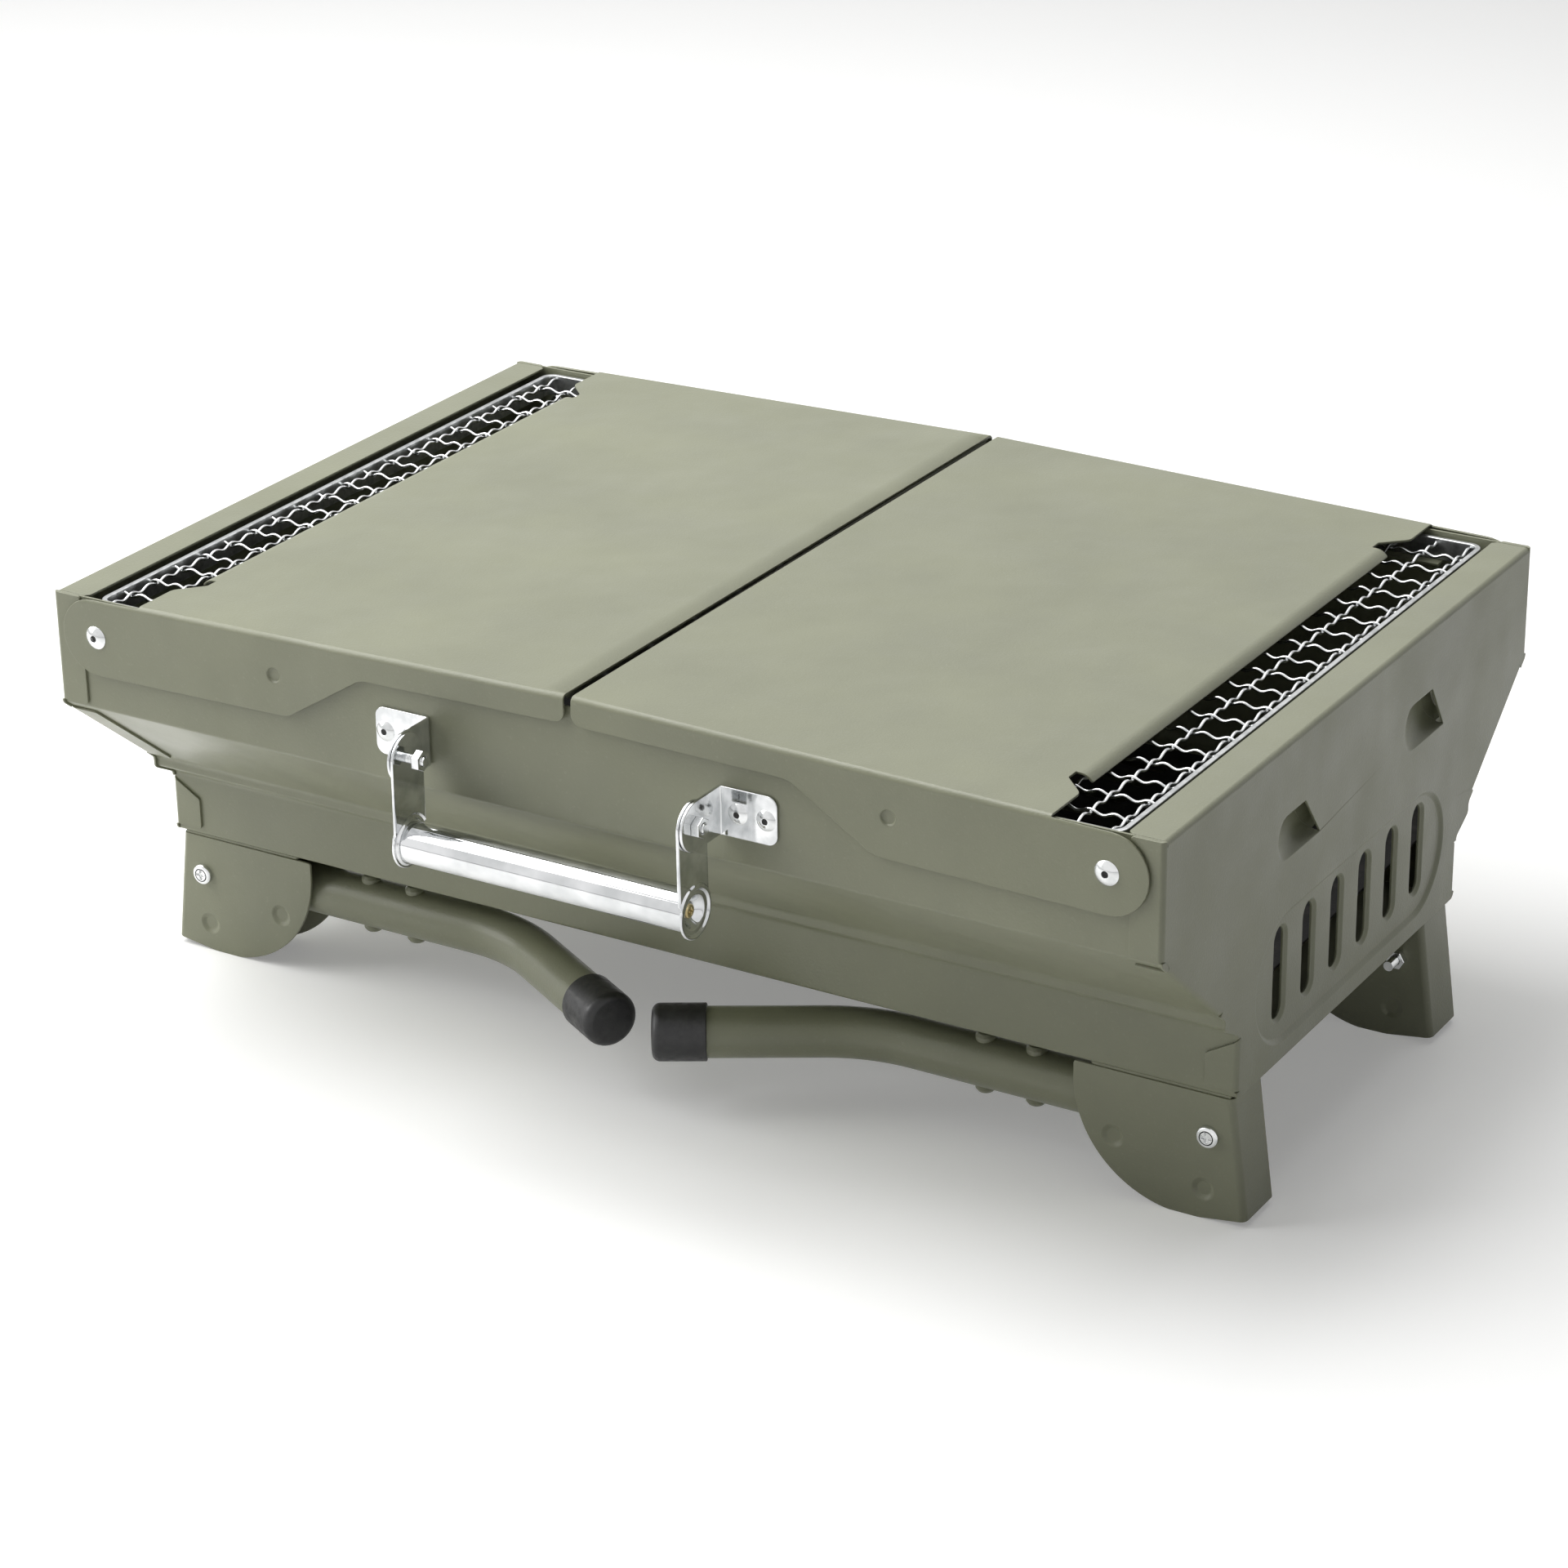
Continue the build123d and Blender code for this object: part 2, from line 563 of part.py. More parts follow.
def lid(rolled):
    """A lid in its own frame; the left one has a softly rolled inner edge."""
    section = Rectangle(2 * LID_OUTER_Y, LID_TOP + LID_EAR, align=(Align.CENTER, Align.MAX))
    top_corners = section.vertices().group_by(Axis.Y)[-1]
    section = fillet(top_corners, LID_BEND)
    hollow = Rectangle(2 * LID_FLANGE_Y, LID_TOP + LID_EAR, align=(Align.CENTER, Align.MAX))
    hollow = fillet(hollow.vertices().group_by(Axis.Y)[-1], LID_BEND - SHEET)
    channel = Pos(0, LID_TOP) * section - Pos(0, LID_TOP - SHEET) * hollow
    shape = along_x(channel, -LID_PIVOT_X, LID_EAR)
    shape &= along_y(lid_side_outline(), -LID_OUTER_Y, LID_OUTER_Y)
    shape -= along_z(lid_cut(), 0, LID_TOP + 1)
    shape += lid_lip()
    if rolled:
        shape = rolled_edge(shape)
    for side_y in (-1, 1):
        shape -= along_y(Circle(PIVOT_RIVET / 2 + FIT), *sorted((0, side_y * BODY_DEPTH)))
        shape += lid_dimple(side_y, -DIMPLE_DEPTH)
        shape -= lid_dimple(side_y, SHEET - DIMPLE_DEPTH)
    return Pos(LID_PIVOT_X, 0, LID_PIVOT_Z) * Rot(0, LID_TILT, 0) * shape


def rolled_edge(shape):
    """Replaces the plate's inner end with a strip that curves down."""
    inner_end = LID_PIVOT_X - SEAM / 2
    start = inner_end - LID_ROLL
    radius = (LID_ROLL**2 + LID_ROLL_DROP**2) / (2 * LID_ROLL_DROP)
    turn = degrees(asin(LID_ROLL / radius))
    half = LID_FLANGE_Y
    shape -= block((-inner_end - 1, -half, LID_TOP - SHEET), (-start, half, LID_TOP))
    ring = Circle(radius) - Circle(radius - SHEET)
    wedge = make_face(
        Polyline((0, 0), (0, 2 * radius), (-2 * radius * tan(radians(turn)), 2 * radius), (0, 0))
    )
    roll = Pos(-start, LID_TOP - radius) * (ring & wedge)
    return shape + along_y(roll, -half, half)


def lid_dimple(side_y, depth):
    """A shallow round press mark in a flange, as a disc that starts at depth below the outer face."""
    inner = LID_OUTER_Y - SHEET
    span = sorted((side_y * (inner + depth), side_y * (inner + depth + SHEET)))
    return along_y(Pos(-DIMPLE_REACH, 0) * Circle(DIMPLE_RADIUS), *span)


def lid_pivot_rivets():
    """The four blind rivets that the lids turn on."""
    outer = LID_OUTER_Y + SEAT / 2
    rivet = blind_rivet(
        PIVOT_RIVET, PIVOT_RIVET_HEAD, PIVOT_RIVET_RISE, outer - WALL_INSIDE_Y, RIVET_TAIL
    )
    placed = Pos(LID_PIVOT_X, outer, LID_PIVOT_Z) * Rot(-90, 0, 0) * rivet
    return Compound([on_side(placed, sx, sy) for sx in (-1, 1) for sy in (-1, 1)])


def lid_washers():
    """The washers between the wall and the lids' ears."""
    ring = Circle(PIVOT_RIVET_HEAD / 2 + 1) - Circle(PIVOT_RIVET / 2 + FIT)
    ring = Pos(LID_PIVOT_X, LID_PIVOT_Z) * ring
    washer = along_y(ring, WALL_Y, LID_FLANGE_Y - SEAT / 2)
    return Compound([on_side(washer, sx, sy) for sx in (-1, 1) for sy in (-1, 1)])


# Leg channels, drawn at the right rear


def channel_outline():
    """A channel's cheek in (x, z): flat on top, leaning outwards, round at its inner end."""
    lean = tan(radians(CHANNEL_LEAN))
    toe = radians(CHANNEL_TOE)
    centre_z = CHANNEL_ROUND - CHANNEL_FLAT_RISE
    touch = (CHANNEL_ROUND_X + CHANNEL_ROUND * sin(toe), centre_z - CHANNEL_ROUND * cos(toe))
    top = BODY_LIFT - CHANNEL_TOP_GAP
    top_x = CHANNEL_TOP_X + (BODY_LIFT - top) * lean
    run = (top_x + (top - touch[1]) * lean - touch[0]) / (1 + tan(toe) * lean)
    corner = (touch[0] + run, touch[1] + run * tan(toe))
    inner_x = CHANNEL_ROUND_X - CHANNEL_ROUND
    start = (inner_x, centre_z)
    middle_angle = radians(225)
    middle = (
        CHANNEL_ROUND_X + CHANNEL_ROUND * cos(middle_angle),
        centre_z + CHANNEL_ROUND * sin(middle_angle),
    )
    edges = [
        Line((top_x, top), (inner_x, top)),
        Line((inner_x, top), start),
        ThreePointArc(start, middle, touch),
        Line(touch, corner),
        Line(corner, (top_x, top)),
    ]
    above_floor = Pos(0, BODY_LIFT) * Rectangle(4 * BODY_WIDTH, 2 * BODY_LIFT)
    return make_face(edges) & above_floor


def leg_channel():
    """The U channel that stands on the floor and holds a leg's pivot."""
    low, high = LEG_Y - CHANNEL_WIDTH / 2, LEG_Y + CHANNEL_WIDTH / 2
    solid = along_y(channel_outline(), low, high)
    lean = radians(CHANNEL_LEAN)
    upright = [edge for edge in solid.edges().filter_by(GeomType.LINE) if is_web_corner(edge, lean)]
    solid = fillet(upright, CHANNEL_BEND)
    reach = 2 * CHANNEL_ROUND
    void = channel_void(lean, reach)
    inside = along_y(void, low + STRAP, high - STRAP)
    near_web = [
        edge
        for edge in inside.edges().filter_by(GeomType.LINE)
        if abs(abs(edge.tangent_at(0).X) - sin(lean)) < 0.01 and edge.center().X > LEG_PIVOT_X
    ]
    inside = fillet(near_web, CHANNEL_BEND - STRAP)
    channel = solid - inside
    top = BODY_LIFT - STRAP
    web_x = CHANNEL_TOP_X - STRAP
    plate_x = HALF_WIDTH - CHANNEL_PLATE
    channel += block((plate_x, low + STRAP / 2, top), (web_x, high - STRAP / 2, BODY_LIFT))
    for inset, z in DETENTS:
        for face, inward in ((high, -1), (low, 1)):
            channel += detent(HALF_WIDTH - inset, z, face, inward, STRAP)
            channel -= detent(HALF_WIDTH - inset, z, face, inward, 0)
    channel -= along_y(Pos(LEG_PIVOT_X, LEG_PIVOT_Z) * Circle(SCREW / 2 + FIT), low - 1, high + 1)
    return channel - channel_rivet_holes()


def is_web_corner(edge, lean):
    """True for the two outer edges between the web and the cheeks."""
    leaning = abs(abs(edge.tangent_at(0).X) - sin(lean)) < 0.01
    return leaning and edge.center().X > LEG_PIVOT_X


def channel_void(lean, reach):
    """The room between the cheeks in (x, z): all that lies inboard of the web's inner face."""
    top_x = CHANNEL_TOP_X - STRAP / cos(lean)
    high = (top_x - reach * tan(lean), BODY_LIFT + reach)
    low = (top_x + reach * tan(lean), BODY_LIFT - reach)
    far = CHANNEL_ROUND_X - reach
    return make_face(Polyline(high, low, (far, low[1]), (far, high[1]), high))


def detent(x, z, face, inward, depth):
    """A press mark in a cheek: a shallow ball end that reaches depth past the detent's own depth."""
    ball = (DETENT_RADIUS**2 + DETENT_DEPTH**2) / (2 * DETENT_DEPTH)
    centre = face + inward * (depth + DETENT_DEPTH - ball)
    sphere = Pos(x, centre, z) * Sphere(ball)
    start = face + inward * depth * 0.99
    end = face + inward * (depth + DETENT_DEPTH)
    window = along_y(Pos(x, z) * Circle(DETENT_RADIUS), *sorted((start, end)))
    return sphere & window


def channel_rivets():
    """The rivets that hold the four channels to the bottom of the trough."""
    grip = STRAP + SHEET
    rivet = blind_rivet(SMALL_RIVET, SMALL_RIVET_HEAD, SMALL_RIVET_RISE, grip, RIVET_TAIL)
    pair = [Pos(x, LEG_Y, BODY_LIFT - STRAP) * Rot(180, 0, 0) * rivet for x in CHANNEL_RIVETS]
    return Compound([on_side(one, sx, sy) for sx in (-1, 1) for sy in (-1, 1) for one in pair])


def leg_bolts():
    """The cross-recessed bolts that the legs turn on."""
    length = CHANNEL_WIDTH + NUT_THICKNESS + THREAD_END
    bolt = Rot(-90, 0, 0) * pan_screw(SCREW, LEG_BOLT_HEAD, LEG_BOLT_RISE, RECESS, length)
    bolt = Pos(LEG_PIVOT_X, CHANNEL_OUTER_Y, LEG_PIVOT_Z) * bolt
    return Compound([on_side(bolt, sx, sy) for sx in (-1, 1) for sy in (-1, 1)])


def leg_nuts():
    """The nuts inside the channels' inner cheeks."""
    face = CHANNEL_OUTER_Y - CHANNEL_WIDTH
    nut = Pos(LEG_PIVOT_X, face, LEG_PIVOT_Z) * Rot(90, 0, 0) * hex_nut(NUT_FLATS)
    return Compound([on_side(nut, sx, sy) for sx in (-1, 1) for sy in (-1, 1)])


# Legs, drawn at the right rear in the folded position


def leg_path(end):
    """The leg's middle line from beyond its pivot to end, measured past the bend's corner."""
    turn = radians(LEG_ANGLE)
    start = (LEG_PIVOT_X + LEG_TUBE / 2, LEG_Y)
    corner = (LEG_CORNER_X, LEG_Y)
    finish = (corner[0] - end * cos(turn), corner[1] + end * sin(turn))
    return Pos(0, 0, LEG_PIVOT_Z) * FilletPolyline(start, corner, finish, radius=LEG_BEND)


def leg_tube():
    """The bent tube of a leg, its pivot end rounded about the pivot."""
    path = leg_path(LEG_TOE - CAP_END)
    start = Plane(path @ 0, x_dir=(0, 1, 0), z_dir=path % 0)
    ring = Circle(LEG_TUBE / 2) - Circle(LEG_TUBE / 2 - LEG_WALL)
    tube = sweep(start * ring, path=path)
    reach = LEG_TUBE
    around = Pos(LEG_PIVOT_X, LEG_PIVOT_Z)
    beyond = around * Rectangle(reach, 2 * reach, align=(Align.MIN, Align.CENTER))
    beyond -= around * Circle(LEG_TUBE / 2 - FIT)
    tube -= along_y(beyond, 0, BODY_DEPTH)
    tube -= along_y(around * Circle(SCREW / 2 + FIT), 0, BODY_DEPTH)
    for x in LEG_RIVETS:
        tube -= along_z(Pos(x, LEG_Y) * Circle(LEG_RIVET / 2), 0, BODY_LIFT)
    return tube


def leg_sleeve():
    """The short inner tube that the two rivets hold inside a leg."""
    outer = LEG_TUBE / 2 - LEG_WALL - FIT
    ring = Pos(LEG_Y, LEG_PIVOT_Z) * (Circle(outer) - Circle(outer - SLEEVE_WALL))
    middle = sum(LEG_RIVETS) / len(LEG_RIVETS)
    sleeve = along_x(ring, middle - SLEEVE_LENGTH / 2, middle + SLEEVE_LENGTH / 2)
    for x in LEG_RIVETS:
        sleeve -= along_z(Pos(x, LEG_Y) * Circle(LEG_RIVET / 2), 0, BODY_LIFT)
    return sleeve


def leg_rivets():
    """The two through rivets of a leg, their heads seated on the round of the tube."""
    rivets = []
    seat = along_x(Pos(LEG_Y, LEG_PIVOT_Z) * Circle(LEG_TUBE / 2), 0, BODY_WIDTH)
    half = LEG_TUBE / 2
    for x in LEG_RIVETS:
        shank = Pos(x, LEG_Y, LEG_PIVOT_Z) * Cylinder(LEG_RIVET / 2, LEG_TUBE)
        skirt = Pos(x, LEG_Y, LEG_PIVOT_Z) * Cylinder(LEG_RIVET_HEAD / 2, LEG_TUBE)
        head = dome(LEG_RIVET_HEAD / 2, LEG_RIVET_RISE)
        skirt += Pos(x, LEG_Y, LEG_PIVOT_Z + half) * head
        skirt += Pos(x, LEG_Y, LEG_PIVOT_Z - half) * Rot(180, 0, 0) * head
        rivets.append(shank + (skirt - seat))
    return Compound(rivets)


def leg_cap():
    """The soft cap pushed over a leg's end, with a domed tip."""
    path = leg_path(LEG_TOE)
    direction = path % 1
    tip = path @ 1
    outer = LEG_TUBE / 2 + CAP_WALL
    place = Plane(tip, z_dir=-direction)
    body = Pos(0, 0, CAP_LENGTH / 2) * Cylinder(outer, CAP_LENGTH)
    body = fillet(body.edges().sort_by(Axis.Z)[0], CAP_END)
    hollow = Pos(0, 0, CAP_END + CAP_LENGTH / 2) * Cylinder(LEG_TUBE / 2 + FIT, CAP_LENGTH)
    return place * (body - hollow)


# Carry handle, drawn at the right


def handle_bracket():
    """The bent strap that is riveted to the front wall and carries the handle's pivot."""
    plate = Pos(HANDLE_FOLD_X + BRACKET_PLATE / 2, BRACKET_Z) * Rectangle(BRACKET_PLATE, BRACKET_HEIGHT)
    plate = fillet(plate.vertices().group_by(Axis.X)[-1], BRACKET_CORNER)
    bracket = along_y(plate, -WALL_Y - STRAP, -WALL_Y)
    radius = BRACKET_HEIGHT / 2
    ear = Pos((HANDLE_Y - WALL_Y) / 2, BRACKET_Z) * Rectangle(HANDLE_REACH, BRACKET_HEIGHT)
    ear += Pos(HANDLE_Y, BRACKET_Z) * Circle(radius)
    bracket += along_x(ear, HANDLE_FOLD_X, HANDLE_FOLD_X + STRAP)
    bracket -= along_x(
        Pos(HANDLE_Y, BRACKET_Z) * Circle(SCREW / 2 + FIT), HANDLE_FOLD_X - 1, HANDLE_FOLD_X + STRAP + 1
    )
    return bracket - bracket_rivet_holes()


def handle_bracket_rivets():
    """The blind rivets of both handle brackets."""
    grip = STRAP + SHEET
    rivet = blind_rivet(SMALL_RIVET, SMALL_RIVET_HEAD, SMALL_RIVET_RISE, grip, RIVET_TAIL)
    placed = [
        Pos(HANDLE_FOLD_X + reach, -WALL_Y - STRAP, BRACKET_Z) * Rot(90, 0, 0) * rivet
        for reach in BRACKET_RIVETS
    ]
    return Compound([on_side(one, side_x) for side_x in (-1, 1) for one in placed])


def handle_arm():
    """The swinging strap of the handle, with a dished cup at the tube."""
    arm = Pos(HANDLE_Y, BRACKET_Z - HANDLE_DROP / 2) * Rectangle(BRACKET_HEIGHT, HANDLE_DROP)
    arm += Pos(HANDLE_Y, BRACKET_Z) * Circle(BRACKET_HEIGHT / 2)
    arm += Pos(HANDLE_Y, BRACKET_Z - HANDLE_DROP) * Circle(CUP_DIAMETER / 2)
    shape = along_x(arm, ARM_X, ARM_X + STRAP)
    cup = Pos(HANDLE_Y, BRACKET_Z - HANDLE_DROP)
    rim = Circle(CUP_DIAMETER / 2) - Circle(CUP_DIAMETER / 2 - CUP_RIM)
    shape += along_x(cup * rim, ARM_X + STRAP, ARM_X + STRAP + CUP_RIM_RISE)
    shape += along_x(cup * Circle(CUP_DISH / 2 + STRAP), CUP_BACK_X, ARM_X)
    shape -= along_x(cup * Circle(CUP_DISH / 2), CUP_BACK_X + STRAP, ARM_X + STRAP)
    shape -= along_x(cup * Circle(GRIP_SCREW / 2 + FIT), CUP_BACK_X, ARM_X)
    pivot = Pos(HANDLE_Y, BRACKET_Z) * Circle(SCREW / 2 + FIT)
    return shape - along_x(pivot, ARM_X, ARM_X + STRAP)


def handle_tube():
    """The polished grip tube between the arms, over the backs of the cups."""
    ring = Circle(HANDLE_TUBE / 2) - Circle(HANDLE_TUBE / 2 - HANDLE_TUBE_WALL)
    return along_x(Pos(HANDLE_Y, BRACKET_Z - HANDLE_DROP) * ring, -ARM_X, ARM_X)


def handle_plugs():
    """The threaded plugs pressed into the grip tube's ends."""
    disc = Circle(HANDLE_TUBE / 2 - HANDLE_TUBE_WALL) - Circle(GRIP_SCREW / 2)
    ring = Pos(HANDLE_Y, BRACKET_Z - HANDLE_DROP) * disc
    plug = along_x(ring, CUP_BACK_X - PLUG_LENGTH, CUP_BACK_X)
    return Compound([on_side(plug, side_x) for side_x in (-1, 1)])


def handle_screws():
    """The screws that hold the cups to the grip tube."""
    screw = pan_screw(GRIP_SCREW, GRIP_SCREW_HEAD, GRIP_SCREW_RISE, GRIP_RECESS, HANDLE_SCREW_LENGTH)
    placed = Pos(CUP_BACK_X + STRAP, HANDLE_Y, BRACKET_Z - HANDLE_DROP) * Rot(0, 90, 0) * screw
    return Compound([on_side(placed, side_x) for side_x in (-1, 1)])


def handle_bolt(grip):
    """A low-headed bolt with its shank below z = 0, for parts that are grip thick up to the nut's face."""
    length = grip + NUT_THICKNESS + HANDLE_THREAD_END
    shank = Pos(0, 0, -length / 2) * Cylinder(SCREW / 2, length)
    return dome(HANDLE_BOLT_HEAD / 2, HANDLE_BOLT_RISE) + shank


def handle_bolts():
    """The bolts that the handle's arms turn on, both put in from the left."""
    straps = 2 * STRAP + ARM_GAP
    heads = [(-HANDLE_FOLD_X - STRAP, straps + HANDLE_NUT_GAP), (ARM_X, straps)]
    towards_left = Rot(0, -90, 0)
    return Compound(
        [Pos(x, HANDLE_Y, BRACKET_Z) * towards_left * handle_bolt(grip) for x, grip in heads]
    )


def handle_nuts():
    """The nuts of the handle's bolts: inside the left arm and outside the right bracket."""
    nut = Rot(0, 90, 0) * hex_nut(HANDLE_NUT_FLATS)
    faces = (HANDLE_NUT_GAP - ARM_X, HANDLE_FOLD_X + STRAP)
    return Compound([Pos(x, HANDLE_Y, BRACKET_Z) * nut for x in faces])


# Build and export


def corner_pieces():
    """The channels and legs of all four corners, by node name."""
    made = {
        "leg_channel": leg_channel(),
        "leg_tube": leg_tube(),
        "leg_sleeve": leg_sleeve(),
        "leg_rivets": leg_rivets(),
        "leg_cap": leg_cap(),
    }
    nodes = {}
    for end, side_y in (("front", -1), ("rear", 1)):
        for hand, side_x in (("left", -1), ("right", 1)):
            for name, shape in made.items():
                nodes[f"{name}_{end}_{hand}"] = on_side(shape, side_x, side_y)
    return nodes


def all_nodes():
    """Every piece of the grill by node name."""
    panel = end_panel()
    rail = net_rail()
    bracket = handle_bracket()
    arm = handle_arm()
    nodes = {
        "body_shell": body_shell(),
        "end_panel_left": on_side(panel, -1),
        "end_panel_right": panel,
        "charcoal_grate": charcoal_grate(),
        "net_frame": net_frame(),
        "net_long_wires": net_long_wires(),
        "net_cross_wires": net_cross_wires(),
        "net_rail_front": on_side(rail, 1, -1),
        "net_rail_rear": rail,
        "lid_left": on_side(lid(True), -1),
        "lid_right": lid(False),
        "lid_pivot_rivets": lid_pivot_rivets(),
        "lid_washers": lid_washers(),
        "channel_rivets": channel_rivets(),
        "leg_bolts": leg_bolts(),
        "leg_nuts": leg_nuts(),
        "handle_bracket_left": on_side(bracket, -1),
        "handle_bracket_right": bracket,
        "handle_bracket_rivets": handle_bracket_rivets(),
        "handle_arm_left": on_side(arm, -1),
        "handle_arm_right": arm,
        "handle_tube": handle_tube(),
        "handle_plugs": handle_plugs(),
        "handle_screws": handle_screws(),
        "handle_bolts": handle_bolts(),
        "handle_nuts": handle_nuts(),
    }
    nodes.update(corner_pieces())
    return nodes


def main():
    """Builds every piece and writes one STEP file per node."""
    os.makedirs("parts", exist_ok=True)
    for name, shape in all_nodes().items():
        export_step(ORIGIN_SHIFT * shape, f"parts/{name}.step")


main()
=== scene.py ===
"""Dresses the folding charcoal grill: powder coated sheet, plated net, bright handle and black leg caps.

Sizes are in millimetres in the grill's drawing frame, where the middle of the trough is x = y = 0 and the
floor is z = 0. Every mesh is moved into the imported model's frame when it becomes an object.
"""

import logging
from collections.abc import Callable, Sequence
from dataclasses import dataclass, field
from enum import Enum

import bpy
import numpy as np
from mathutils import Matrix, Vector
from mathutils.geometry import delaunay_2d_cdt


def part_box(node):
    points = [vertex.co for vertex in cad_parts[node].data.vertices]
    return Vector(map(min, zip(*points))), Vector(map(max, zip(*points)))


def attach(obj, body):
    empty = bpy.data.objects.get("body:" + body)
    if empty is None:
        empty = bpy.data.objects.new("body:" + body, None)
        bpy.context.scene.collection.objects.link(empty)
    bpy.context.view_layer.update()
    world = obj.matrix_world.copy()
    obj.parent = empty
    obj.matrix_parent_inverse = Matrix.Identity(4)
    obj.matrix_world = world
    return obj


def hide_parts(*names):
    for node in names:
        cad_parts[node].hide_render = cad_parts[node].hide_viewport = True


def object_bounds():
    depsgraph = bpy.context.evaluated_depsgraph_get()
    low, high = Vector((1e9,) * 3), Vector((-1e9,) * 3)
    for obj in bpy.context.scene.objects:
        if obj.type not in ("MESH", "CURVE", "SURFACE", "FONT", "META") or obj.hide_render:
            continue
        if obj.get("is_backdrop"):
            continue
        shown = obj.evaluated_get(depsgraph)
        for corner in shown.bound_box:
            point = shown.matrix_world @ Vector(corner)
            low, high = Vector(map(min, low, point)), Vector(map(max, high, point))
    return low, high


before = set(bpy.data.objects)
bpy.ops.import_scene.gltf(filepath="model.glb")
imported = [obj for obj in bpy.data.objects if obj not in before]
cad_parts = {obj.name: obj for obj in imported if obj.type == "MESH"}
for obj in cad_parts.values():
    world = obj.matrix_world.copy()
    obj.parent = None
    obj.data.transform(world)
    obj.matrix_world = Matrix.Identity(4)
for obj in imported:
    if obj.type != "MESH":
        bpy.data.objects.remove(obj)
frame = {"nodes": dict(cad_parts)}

Array = np.ndarray
Place = Callable[[Array, Array], Array]

MM = 0.001
TINY = 0.01  # step for slopes found by difference, in mm
LOG = logging.getLogger("grill")
CAD_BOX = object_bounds()
SHELL_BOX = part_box("body_shell")
DRAWING_TO_ROW = np.array([0.0, (SHELL_BOX[0].y + SHELL_BOX[1].y) / 2, 0.0])


# Vectors


def unit(vectors: Array) -> Array:
    """Each row divided by its length."""
    length = np.linalg.norm(vectors, axis=-1, keepdims=True)
    return vectors / np.maximum(length, 1e-12)


def ease(value: Array) -> Array:
    """Smooth step: 3t^2 - 2t^3 of the value clamped to 0..1."""
    t = np.clip(value, 0.0, 1.0)
    return t * t * (3.0 - 2.0 * t)


def turned_about(axis: int, angle: float) -> Array:
    """A rotation matrix about x, y or z by an angle in degrees, by the right-hand rule.

    Args:
        axis: 0, 1 or 2 for x, y or z.
        angle: in degrees.

    Returns:
        The 3 x 3 matrix.
    """
    c, s = np.cos(np.radians(angle)), np.sin(np.radians(angle))
    matrix = np.eye(3)
    i, j = (axis + 1) % 3, (axis + 2) % 3
    matrix[i, i], matrix[i, j], matrix[j, i], matrix[j, j] = c, -s, s, c
    return matrix


# Surfaces


@dataclass
class Surface:
    """Points with outward normals, in mm, and the faces between them as arrays of 3 or 4 columns."""

    points: Array
    normals: Array
    faces: list[Array]

    @staticmethod
    def joined(parts: Sequence["Surface"]) -> "Surface":
        """Puts several surfaces into one, without joining their edges.

        Args:
            parts: the surfaces.

        Returns:
            The new surface.
        """
        starts = np.cumsum([0] + [len(part.points) for part in parts])
        faces = [face + start for part, start in zip(parts, starts) for face in part.faces]
        points = np.concatenate([part.points for part in parts])
        return Surface(points, np.concatenate([part.normals for part in parts]), faces)

    def moved(self, shift: Sequence[float]) -> "Surface":
        """A copy shifted by a vector."""
        return Surface(self.points + np.array(shift, float), self.normals, self.faces)

    def turned(self, matrix: Array) -> "Surface":
        """A copy multiplied by a rotation matrix."""
        return Surface(self.points @ matrix.T, self.normals @ matrix.T, self.faces)

    def mirrored(self, axis: int) -> "Surface":
        """A copy mirrored across the plane through 0 at right angles to an axis, faces still outwards.

        Args:
            axis: 0 for x or 1 for y.

        Returns:
            The new surface.
        """
        sign = np.ones(3)
        sign[axis] = -1.0
        return Surface(self.points * sign, self.normals * sign, [face[:, ::-1] for face in self.faces])

    def at_corner(self, side_x: int, side_y: int = 1) -> "Surface":
        """A surface drawn at the right rear, taken to one of the four corners."""
        result = self if side_x > 0 else self.mirrored(0)
        return result if side_y > 0 else result.mirrored(1)

    def oriented(self) -> "Surface":
        """Turns each face so that it faces the way its points' normals do.

        Returns:
            The new surface.
        """
        fixed = []
        for face in self.faces:
            corner = self.points[face]
            across = np.cross(corner[:, 2] - corner[:, 0], corner[:, -1] - corner[:, 1])
            if face.shape[1] == 3:
                across = np.cross(corner[:, 1] - corner[:, 0], corner[:, 2] - corner[:, 0])
            wrong = (across * self.normals[face].sum(axis=1)).sum(axis=1) < 0
            fixed.append(np.where(wrong[:, None], face[:, ::-1], face))
        return Surface(self.points, self.normals, fixed)

    def welded(self) -> "Surface":
        """Merges points that coincide, which closes seams and poles, and drops faces left with no area.

        Returns:
            The new surface.
        """
        key = np.round(self.points, 4) + 0.0
        _, first, index = np.unique(key, axis=0, return_index=True, return_inverse=True)
        index = index.reshape(-1)
        normals = np.zeros((len(first), 3))
        np.add.at(normals, index, self.normals)
        faces = []
        for face in self.faces:
            face = index[face]
            if face.shape[1] == 3:
                faces.append(face[np.array([len(set(row)) == 3 for row in face.tolist()], bool)])
                continue
            same = face == np.roll(face, -1, axis=1)
            faces.append(face[~same.any(axis=1)])
            for column in range(4):
                rows = face[(same.sum(axis=1) == 1) & same[:, column]]
                faces.append(np.delete(rows, column, axis=1))
        return Surface(self.points[first], unit(normals), [face for face in faces if len(face)])


